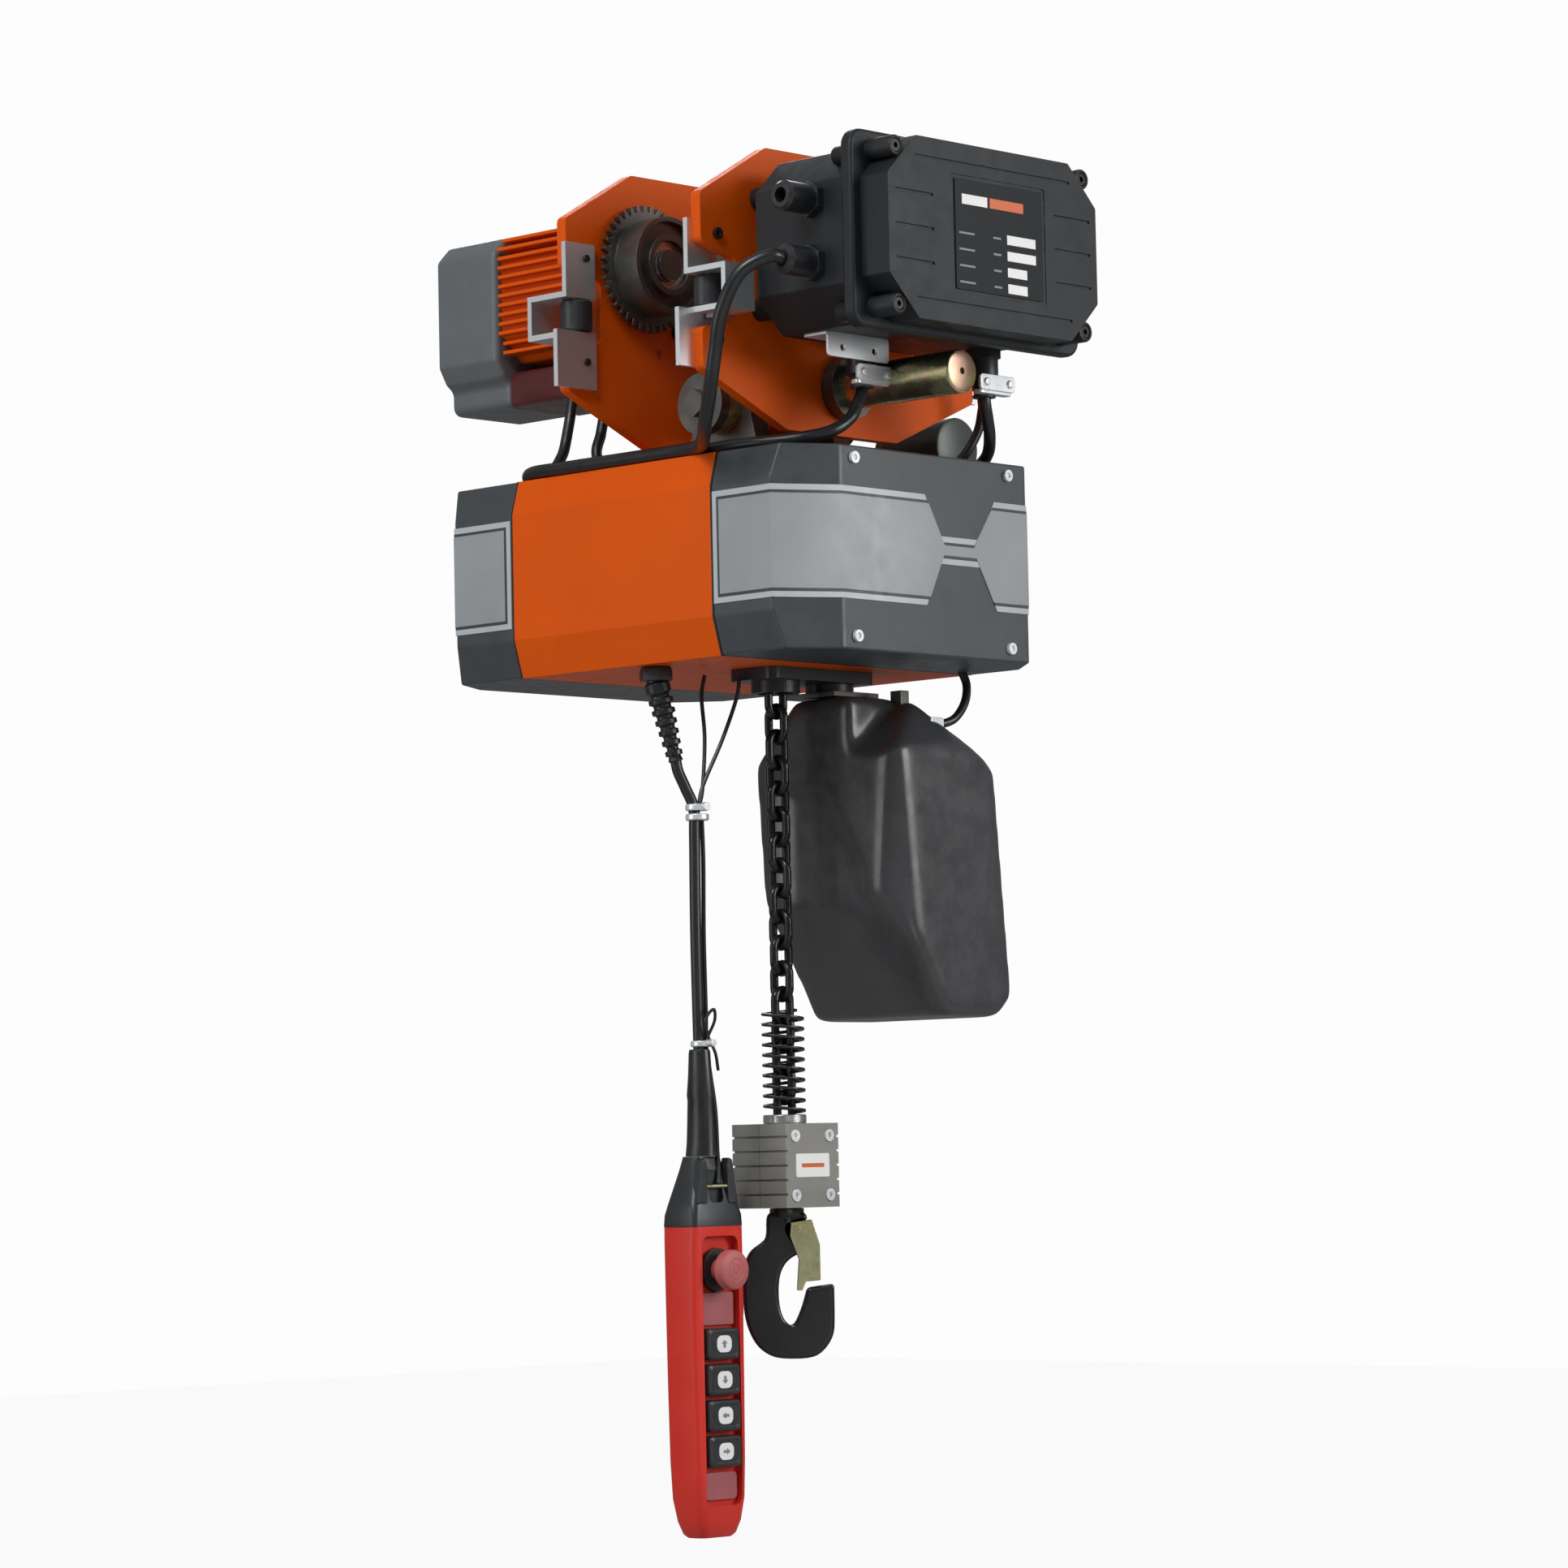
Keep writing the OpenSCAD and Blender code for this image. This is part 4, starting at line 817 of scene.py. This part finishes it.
def build_hook():
    outline = [(-17, -684), (-22, -688.5), (-30.5, -694), (-35.5, -704), (-37, -716), (-37, -740),
               (-34, -757), (-27, -771), (-17, -779), (-6, -782), (18, -782), (28, -776), (36, -764),
               (37, -750), (37, -722), (15, -725), (10.5, -741), (3, -757), (-4, -751), (-7.5, -741),
               (-8.3, -727), (-7, -714), (-2.5, -705), (4, -699.5), (11, -697), (8.5, -690), (1, -680),
               (1, -673.5), (16, -671), (16, -666), (13, -664), (-14, -664), (-17, -667)]
    bm = prism(smooth_outline(outline, {(37, -722), (15, -725), (-14, -664), (13, -664)}), "y", -9.5, 9.5)
    hook = piece("hook_forging", turn_hook(bm), "hook", "hook", bevel=3.0, segments=4, angle=50,
                 stands_for="hook")
    hook.modifiers["bevel"].use_clamp_overlap = False
    shank = lathe([(9.9, -672), (9.9, -643), (15.9, -642.6), (15.9, -631), (0, -631)], ORIGIN, AXIS_Z, 40)
    lathe([(13.4, -668), (14, -667), (14, -661), (13.2, -660.4), (0, -660.4)], ORIGIN, AXIS_Z, 40, shank)
    piece("hook_shank", shank, "hook", "hook")
    tag = prism(rounded(rect(12, 28, (0, -731)), 1.2, 2), "x", -37.3, -36.9)
    piece("hook_tag", turn_hook(tag), "white", "hook")
    marks = bmesh.new()
    for k in range(3):
        prism(rect(6.5, 4.2, (0, -740 + 8 * k)), "x", -37.45, -37.2, marks)
    piece("hook_tag_marks", turn_hook(marks), "print_grey", "hook")


# ---------------------------------------------------------------- pendant

PX, PY = -76.0, 21.0
P_FRONT = PY - 19.0
BUTTON_Z = [-767 - 28.5 * i for i in range(4)]
BUTTON_TURN = {"up_button": 0, "down_button": math.pi, "left_button": math.pi / 2,
               "right_button": -math.pi / 2}
STOP_Z = -708.0


def ring_xy(w, y0, y1, r, z, steps=4):
    outline = rounded([(-w / 2, y0), (w / 2, y0), (w / 2, y1), (-w / 2, y1)], r, steps)
    return [(PX + x, y, z) for x, y in outline]


def build_pendant():
    # height, width, front, rear, corner radius: the housing leans out at the front and tapers at its foot.
    stations = [(-673.2, 56, 2, 40, 5), (-690, 57.5, 2, 40, 6), (-740, 58, 2, 40, 7), (-800, 57, 2, 40, 7),
                (-860, 55, 2, 40, 7), (-890, 53, 2.5, 39, 7), (-908, 48, 4, 37, 8), (-918, 42, 7, 34, 8),
                (-921, 36, 10, 31, 7)]
    housing = piece("pendant_shell", loft([ring_xy(w, a, b, r, z) for z, w, a, b, r in stations]), "red",
                    "pendant", stands_for="pendant_housing")
    channel = prism(rounded(rect(41, 215, (PX, -788.5)), 7, 5), "y", P_FRONT - 5, P_FRONT + 7.5)
    cut(housing, channel)
    cut(housing, lathe([(17.6, -6), (17.6, 8)], (PX, P_FRONT, STOP_Z), AXIS_Y, 48))
    round_edges(housing, 1.3, 3, 38)
    blanks = bmesh.new()
    prism(rounded(rect(36, 26, (PX, -739)), 1.5, 2), "y", P_FRONT + 4.2, P_FRONT + 8, blanks)
    prism(rounded(rect(36, 22, (PX, -880)), 4, 4), "y", P_FRONT + 4.2, P_FRONT + 8, blanks)
    piece("pendant_blanks", blanks, "blank_red", "pendant", bevel=0.5, segments=2)
    collar = lathe([(17.2, 0), (17.2, 5.5), (9.4, 5.5), (9.4, 0)], (PX, P_FRONT + 7.4, STOP_Z), MINUS_Y,
                   44)
    piece("stop_collar", collar, "plastic", "pendant", bevel=0.5, segments=2, angle=35)


def build_stop():
    head = [(9, 0), (9, 14), (14.5, 14.5), (16, 16.5), (16, 22.5), (15.2, 24.4), (13, 25.4), (9, 25.8),
            (8.4, 25.4), (7.8, 25.8), (3.6, 26), (3.0, 25.6), (2.4, 26), (0, 26)]
    bm = lathe(head, (PX, P_FRONT + 8, STOP_Z), MINUS_Y, 56)
    piece("stop_mushroom", bm, "stop_red", "stop_button", bevel=0.25, segments=2, angle=30,
          stands_for="stop_button")


def arrow_outline(kind):
    """Generic arrows: plain up and down, and the same turned to point sideways."""
    up = [(-1.1, -3), (1.1, -3), (1.1, 0.2), (2.6, 0.2), (0, 3.2), (-2.6, 0.2), (-1.1, 0.2)]
    c, s = math.cos(BUTTON_TURN[kind]), math.sin(BUTTON_TURN[kind])
    return [(x * c - y * s, x * s + y * c) for x, y in up]


def build_buttons():
    for name, z in zip(BUTTON_TURN, BUTTON_Z):
        sections = []
        for y, inset, r in ((8, 0, 3.2), (0.5, 0, 3.2), (-1.6, 0.4, 3.2), (-2.8, 2.2, 3.2), (-2.8, 3.2, 3.0),
                            (-2.1, 4.0, 2.8)):
            outline = rounded(rect(36 - 2 * inset, 25 - 2 * inset), r, 4)
            sections.append([(PX + u, P_FRONT + y, z + v) for u, v in outline])
        piece(f"{name}_key", loft(sections), "plastic", name, bevel=0.25, segments=2, angle=25,
              stands_for=name)
        label = prism(rounded(rect(16.5, 13.5, (PX, z)), 5.2, 5), "y", P_FRONT - 2.6, P_FRONT - 1.9)
        piece(f"{name}_label", label, "white", name, bevel=0.15, segments=2)
        arrow = prism([(PX + u * 1.25, z + v) for u, v in arrow_outline(name)], "y", P_FRONT - 2.8,
                      P_FRONT - 2.5)
        piece(f"{name}_arrow", arrow, "print_grey", name)


def build_pendant_top():
    stations = [(-673.1, 57, 2, 40, 5), (-664, 57, 2.2, 39.5, 6), (-655, 53, 4, 38, 7), (-640, 42, 7, 36, 7),
                (-628, 34, 9.5, 34, 7), (-620, 30, 11, 32, 6), (-617.1, 28.6, 12, 31, 5)]
    cap = piece("pendant_hood", loft([ring_xy(w, a, b, r, z) for z, w, a, b, r in stations]),
                "pendant_grey", "pendant", stands_for="pendant_cap")
    cut(cap, prism(rounded(rect(16, 26, (PX, -641)), 4, 3), "y", -4, 10))
    round_edges(cap, 0.9, 3, 30)
    ears = bmesh.new()
    for sx in (-1, 1):
        ear = [(PX + sx * 12, -655), (PX + sx * 23, -655), (PX + sx * 17.5, -620), (PX + sx * 13.5, -618),
               (PX + sx * 11, -626)]
        prism(ear, "y", 3.0, 12.0, ears)
    piece("hood_ears", ears, "pendant_grey", "pendant", bevel=1.2, segments=3)
    pin = lathe([(1.6, -13), (1.6, 13)], (PX, 5.5, -641), AXIS_X, 20)
    piece("hood_pin", pin, "yellow_zinc", "pendant", bevel=0.3, segments=2, angle=40)
    boot_stations = [(-617, 12.5, 13.5), (-606, 10.5, 13), (-590, 9.5, 12.5), (-572, 9, 11.8),
                     (-568, 9.6, 12.2), (-552, 8.6, 10.6), (-534, 8.2, 9.4), (-531, 7.6, 8.8)]
    sections = [[(PX + x, PY + y, z) for x, y in ellipse(a, b, 28)] for z, a, b in boot_stations]
    piece("pendant_boot_skin", loft(sections), "rubber", "pendant", bevel=0.6, segments=2, angle=25,
          stands_for="pendant_boot")


# ---------------------------------------------------------------- cables

CORD_TOP, CORD_END = Vector((-100, 38, -233)), Vector((-86, 31, -298))


def cable(name, points, r, body=None, per=10, sides=14, stands_for=""):
    """A round rubber cable through points; per is the number of steps from one point to the next."""
    return piece(name, sweep(spline(points, per), circle(r, sides)), "rubber", body, stands_for=stands_for)


def hung(name, points, r, sides=14):
    """A cable from start to end on no body, with its placement baked into its mesh."""
    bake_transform(cable(name, points, r, None, 12, sides))


def build_cord_grip():
    way = CORD_END - CORD_TOP
    length = way.length
    profile = [(0, -11.5), (8.0, -11.5), (8.0, 0), (10.5, 2), (10.5, 9)]
    for k in range(6):
        h = 12 + 8.6 * k
        r = 10.2 - 0.62 * k
        profile += [(r - 2.4, h), (r - 2.2, h + 2.0), (r, h + 2.6), (r, h + 6.4), (r - 2.2, h + 7.0)]
    profile += [(6.0, length - 1), (5.2, length), (0, length)]
    piece("cord_grip_boot", lathe(profile, CORD_TOP, way, 36), "rubber", "hoist", bevel=0.35, segments=2,
          angle=30, stands_for="cord_grip")
    nut = lathe([(14, 0), (14, 8.5), (12.5, 11.7), (0, 11.7)], CORD_TOP, AXIS_Z, 6)
    piece("cord_grip_nut", nut, "plastic", "hoist", bevel=0.8, segments=2, angle=25)


def build_pendant_cable():
    main = [CORD_END + Vector((-0.4, 0.2, 2)), CORD_END + Vector((1.6, -0.6, -8)), (-80, 26.5, -320),
            (PX, PY + 1, -336), (PX - 0.6, PY, -360), (PX - 1.5, PY, -440), (PX - 0.5, PY, -532)]
    cable("pendant_cord", main, 4.6, "pendant", 12, 16, "pendant_cable")
    twin = [(PX + 8, PY, -342), (PX + 8.4, PY - 0.4, -380), (PX + 7.6, PY, -440), (PX + 8.2, PY, -500),
            (PX + 7, PY - 1, -530), (PX + 4.5, PY - 7, -550), (PX + 6, PY - 10.5, -580),
            (PX + 8, PY - 10, -612), (PX + 5, PY - 13.8, -636), (PX, PY - 15.2, -641.5)]
    cable("support_wire", twin, 1.9, "pendant", sides=10)
    loop = [(PX + 4, PY - 5, -522), (PX + 9, PY - 9, -508), (PX + 5, PY - 12, -499), (PX - 2, PY - 10, -507),
            (PX + 2, PY - 8.5, -521), (PX + 8, PY - 10, -534), (PX + 13, PY - 8, -548)]
    cable("support_wire_loop", loop, 1.3, "pendant", sides=10)
    ferrule = bmesh.new()
    for z in (-333, -341):
        lathe([(8.6, 0), (9.6, 0.8), (9.6, 4.6), (8.6, 5.4)], (PX + 3, PY, z - 5), AXIS_Z, 28, ferrule)
    lathe([(3.4, 0), (3.4, 6)], (PX + 3, PY - 12, -335), AXIS_Y, 18, ferrule)
    piece("cable_ferrule", ferrule, "zinc", "pendant", bevel=0.4, segments=2, angle=30)
    lower = bmesh.new()
    lathe([(8.4, 0), (9.2, 0.8), (9.2, 4.2), (8.4, 5)], (PX + 3, PY, -529), AXIS_Z, 28, lower)
    lathe([(3.0, 0), (3.0, 8)], (PX + 3, PY - 14, -526), AXIS_Y, 18, lower)
    piece("cable_clip", lower, "zinc", "pendant", bevel=0.4, segments=2, angle=30)
    for name, start in (("support_line_a", (-34, 8, -228)), ("support_line_b", (-52, 30, -226))):
        x, y, z = start
        path = [(x, y, z), (x - 3, y + 1, z - 18), ((x + PX) / 2 + 6, (y + PY) / 2, z - 52),
                (PX + 10, PY, -318), (PX + 5, PY, -336)]
        hung(name, path, 1.7, 10)


ROOF = BODY_Z[1]


def build_top_cables():
    """Cables from the junction box and the drive motor, lying along the hoist's roof."""
    r = 5.6
    # From the lower side gland down past the plate: the first length rides on the trolley, the other two on
    # no body.
    drop = [(-158, -170, 78), (-172, -167, 79), (-188, -150, 66), (-193, -134, 36), (-188, -122, 8)]
    cable("box_cord_upper", drop, r, "trolley", 12, 16, "box_cable")
    hung("box_cord_middle", [(-188.3, -122.7, 10), (-184, -114, -10), (-176, -102, -28)], r,
         16)
    hung("box_cord_lower", [(-176.4, -102.6, -27), (-166, -88, -42), (-146, -66, -50),
                            (-122, -34, ROOF + 6), (-120, 30, ROOF + 5.8), (-121, 110, ROOF + 5.8),
                            (-118, 160, ROOF + 6), (-96, 184, ROOF + 2), (-80, 196, ROOF - 1)],
         r, 16)
    # From the first connector under the box, over the near cap and along the roof's left edge.
    hung("connector_cord_upper", [(-33, -134, 2), (-34, -135, -10), (-42, -137, -22)], 5.0)
    hung("connector_cord_lower", [(-41.6, -136.8, -21), (-52, -138, -34), (-72, -134, -46),
                                  (-96, -112, ROOF + 6), (-111, -70, ROOF + 5.2), (-110, 0, ROOF + 5.2),
                                  (-110, 90, ROOF + 5.2), (-106, 158, ROOF + 5.4), (-80, 178, ROOF + 4)],
         5.0)
    # Loops from the drive motor's casing down to the roof's far left.
    for name, x, y, dx in (("motor_cord_a", -40, 190, -52), ("motor_cord_b", -20, 170, -24)):
        hung(f"{name}_upper", [(x, y, 24), (x - 4, y, 4), (x - 10, y - 2, -12)], 4.6)
        hung(f"{name}_lower", [(x - 9.6, y - 2, -11), (x - 18, y - 5, -28), (x + dx * 0.7, y - 12, -46),
                               (x + dx, y - 30, ROOF + 4.8), (x + dx - 6, y - 70, ROOF + 4.6)],
             4.6)
    # From the second connector and the canister down to the roof's near right.
    hung("right_cord_upper", [(85, -160, 2), (86, -160, -12), (92, -157, -24)], 5.0)
    hung("right_cord_lower", [(91.5, -157.2, -23), (102, -150, -36), (120, -132, -47),
                              (136, -108, ROOF + 5), (140, -86, ROOF + 2), (141, -74, ROOF + 1)],
         5.0)
    hung("box_loop_upper", [(118, -118, 42), (134, -112, 18), (140, -110, -6)], 4.0)
    hung("box_loop_lower", [(139.8, -110, -5), (138, -106, -24), (130, -100, -42), (122, -92, ROOF + 3.6)],
         4.0)
    cable("box_loop_root", [(96, -126, 52), (106, -123, 48), (118.6, -117.8, 41)], 4.0, "trolley", 8)
    # From the body's rear underside to the container's shoulder.
    cable("limit_cord", [(150, -70, -219), (152, -74, -232), (142, -80, -248), (126, -82, -262),
                         (108, -78, -268)], 3.6, "hoist")
    piece("limit_clip", prism(rounded(rect(16, 9, (104, -266)), 2, 2), "y", -84, -74), "zinc", "hoist",
          bevel=0.8, segments=2)


def build_connectors():
    """The silver clamp bars and ribbed bodies of the connectors under the junction box."""
    for x, y in ((-33, -134), (85, -160)):
        letter = "a" if x < 0 else "b"
        neck = [(9.5, 0), (9.5, -3), (8.6, -3.4), (8.6, -6.6), (9.5, -7), (9.5, -9)]
        piece(f"connector_neck_{letter}", lathe(neck, (x, y, 1), AXIS_Z, 28), "plastic", "trolley")
        bar = prism(rounded(rect(38, 9, (x, y - 9)), 2.5, 3), "z", -6.5, -3.0)
        for s in (-1, 1):
            lathe([(3.4, 0), (3.4, 1.6), (2.6, 2.4), (0, 2.4)], (x + 14 * s, y - 15.2, 2.5), MINUS_Y, 18, bar)
        prism(rounded(rect(42, 13, (x, 2.5)), 3, 3), "y", y - 15.4, y - 12.6, bar)
        piece(f"connector_clamp_{letter}", bar, "zinc", "trolley", bevel=0.5, segments=2)


def build_bracket():
    bm = prism(rounded([(-91, 11), (-20, 11), (-20, 30.9), (-91, 30.9)], 3, 3), "y", -152.3, -149.8)
    obj = piece("bracket_face", bm, "zinc", "trolley", stands_for="gland_bracket")
    for x in (-74, -37):
        cut(obj, lathe([(2.75, -2), (2.75, 6)], (x, -153, 19), AXIS_Y, 24))
    round_edges(obj, 0.4, 2, 30)
    foot = prism(rounded([(-91, -151), (-52, -151), (-52, -125), (-91, -125)], 2, 2), "z", 28.4, 30.9)
    piece("bracket_foot", foot, "zinc", "trolley", bevel=0.4, segments=2)


def build_canister():
    profile = [(0, -66), (22, -66), (25.2, -64.6), (26, -62), (26, -2), (26.6, -1.4), (26.6, 3), (25, 6),
               (0, 6)]
    piece("canister_can", lathe(profile, (158, 0, -32), AXIS_Y, 56), "canister", "hoist", bevel=0.3,
          segments=2, angle=30, stands_for="top_canister")
    saddle = prism(rounded([(140, -57.9), (176, -57.9), (176, -50), (140, -50)], 2, 2), "y", -60, 0)
    piece("canister_saddle", saddle, "dark_steel", "hoist", bevel=0.5, segments=2)


def build_rollers():
    profile = [(4.1, 52.6), (11.6, 52.6), (13, 54.2), (13, 76.3), (11.6, 77.9), (4.1, 77.9)]
    for side, end, sx, sy in (("near", "left", -1, -1), ("near", "right", 1, -1),
                              ("far", "left", -1, 1), ("far", "right", 1, 1)):
        name = f"{side}_{end}_roller"
        piece(f"{name}_drum", lathe(profile, (145 * sx, 76 * sy, 0), AXIS_Z, 48), "plastic", name,
              bevel=0.2, segments=2, angle=40, stands_for=name)


# ---------------------------------------------------------------- stage, light and camera

def build_stage():
    bm = bmesh.new()
    half, z = 9.0, -1.25  # metres
    bm.faces.new([bm.verts.new((x, y, z)) for x, y in rect(2 * half, 2 * half)])
    mesh = bpy.data.meshes.new("floor")
    bm.to_mesh(mesh)
    floor = new_object("floor", mesh)
    mat = bpy.data.materials.new("pale_floor")
    mat.use_nodes = True
    fnt = mat.node_tree
    wire_floor = fnt.links.new
    bsdf = fnt.nodes["Principled BSDF"]
    bsdf.inputs["Base Color"].default_value = (0.34, 0.34, 0.34, 1)
    bsdf.inputs["Roughness"].default_value = 0.8
    glow = fnt.nodes.new("ShaderNodeEmission")
    glow.inputs["Color"].default_value = (0.95, 0.95, 0.95, 1)
    seen_by = fnt.nodes.new("ShaderNodeLightPath")
    blend = fnt.nodes.new("ShaderNodeMixShader")
    wire_floor(seen_by.outputs["Is Camera Ray"], blend.inputs["Fac"])
    wire_floor(bsdf.outputs["BSDF"], blend.inputs[1])
    wire_floor(glow.outputs["Emission"], blend.inputs[2])
    wire_floor(blend.outputs["Shader"], fnt.nodes["Material Output"].inputs["Surface"])
    mesh.materials.append(mat)

    world = bpy.data.worlds.new("studio")
    scene.world = world
    world.use_nodes = True
    nt = world.node_tree
    wire = nt.links.new
    nt.nodes.clear()
    out = nt.nodes.new("ShaderNodeOutputWorld")
    lit, seen = nt.nodes.new("ShaderNodeBackground"), nt.nodes.new("ShaderNodeBackground")
    seen.inputs["Color"].default_value = (0.98, 0.98, 0.98, 1)
    mix = nt.nodes.new("ShaderNodeMixShader")
    ray = nt.nodes.new("ShaderNodeLightPath")
    coord = nt.nodes.new("ShaderNodeTexCoord")
    split = nt.nodes.new("ShaderNodeSeparateXYZ")
    wire(coord.outputs["Generated"], split.inputs["Vector"])
    ramp = ramp_node(nt, [(0.0, (0.10, 0.10, 0.105)), (0.42, (0.30, 0.30, 0.31)), (0.60, (0.62, 0.63, 0.65)),
                          (1.0, (0.80, 0.81, 0.83))])
    wire(mapped(nt, split.outputs["Z"], 0, 1, -1, 1), ramp.inputs["Fac"])
    wire(ramp.outputs["Color"], lit.inputs["Color"])
    lit.inputs["Strength"].default_value = 0.42
    wire(ray.outputs["Is Camera Ray"], mix.inputs["Fac"])
    wire(lit.outputs["Background"], mix.inputs[1])
    wire(seen.outputs["Background"], mix.inputs[2])
    wire(mix.outputs["Shader"], out.inputs["Surface"])


def area_light(name, place, aim, size, power):
    data = bpy.data.lights.new(name, "AREA")
    data.energy, data.size = power, size
    obj = new_object(name, data)
    obj.location = place
    obj.rotation_mode = "QUATERNION"
    obj.rotation_quaternion = (Vector(aim) - Vector(place)).to_track_quat("-Z", "Y")


def build_lights():
    middle = (0.0, 0.0, -0.35)
    area_light("key", (-2.3, -0.6, 1.9), middle, 1.2, 54)
    area_light("front", (1.1, -2.6, 0.4), middle, 1.5, 50)
    area_light("left", (-2.6, 0.9, -0.1), middle, 1.4, 15)
    area_light("rim", (1.8, 1.8, 1.4), middle, 1.2, 26)
    area_light("low", (-0.8, -1.6, -1.1), (0, 0, -0.2), 1.0, 3)


CAMERA_AT = Vector((-3.0657, -2.9246, -0.6211))
CAMERA_YAW, CAMERA_PITCH, CAMERA_ROLL = (math.radians(a) for a in (46.42, 4.132, -1.241))
CAMERA_LENS, CAMERA_SENSOR = 119.37, 36.0


def build_camera():
    flat = math.cos(CAMERA_PITCH)
    forward = Vector((math.sin(CAMERA_YAW) * flat, math.cos(CAMERA_YAW) * flat, math.sin(CAMERA_PITCH)))
    level = Vector((math.cos(CAMERA_YAW), -math.sin(CAMERA_YAW), 0))
    up = level.cross(forward)
    right = level * math.cos(CAMERA_ROLL) + up * math.sin(CAMERA_ROLL)
    up = right.cross(forward)
    data = bpy.data.cameras.new("camera")
    data.lens, data.sensor_width = CAMERA_LENS, CAMERA_SENSOR
    data.clip_start, data.clip_end = 0.1, 60
    cam = new_object("camera", data)
    cam.matrix_world = Matrix((
        (right.x, up.x, -forward.x, CAMERA_AT.x), (right.y, up.y, -forward.y, CAMERA_AT.y),
        (right.z, up.z, -forward.z, CAMERA_AT.z), (0, 0, 0, 1)))
    scene.camera = cam


# ---------------------------------------------------------------- build

scene.view_settings.view_transform = "Standard"
for build in (dress_cad_nodes, build_housing, build_caps, build_junction_box, build_lid, build_nameplate,
              build_drive, build_shaft, build_bracket, build_canister, build_rollers, build_container,
              build_spring, build_block, build_hook, build_pendant, build_stop, build_buttons,
              build_pendant_top, build_cord_grip, build_pendant_cable, build_top_cables, build_connectors,
              build_stage, build_lights, build_camera):
    build()
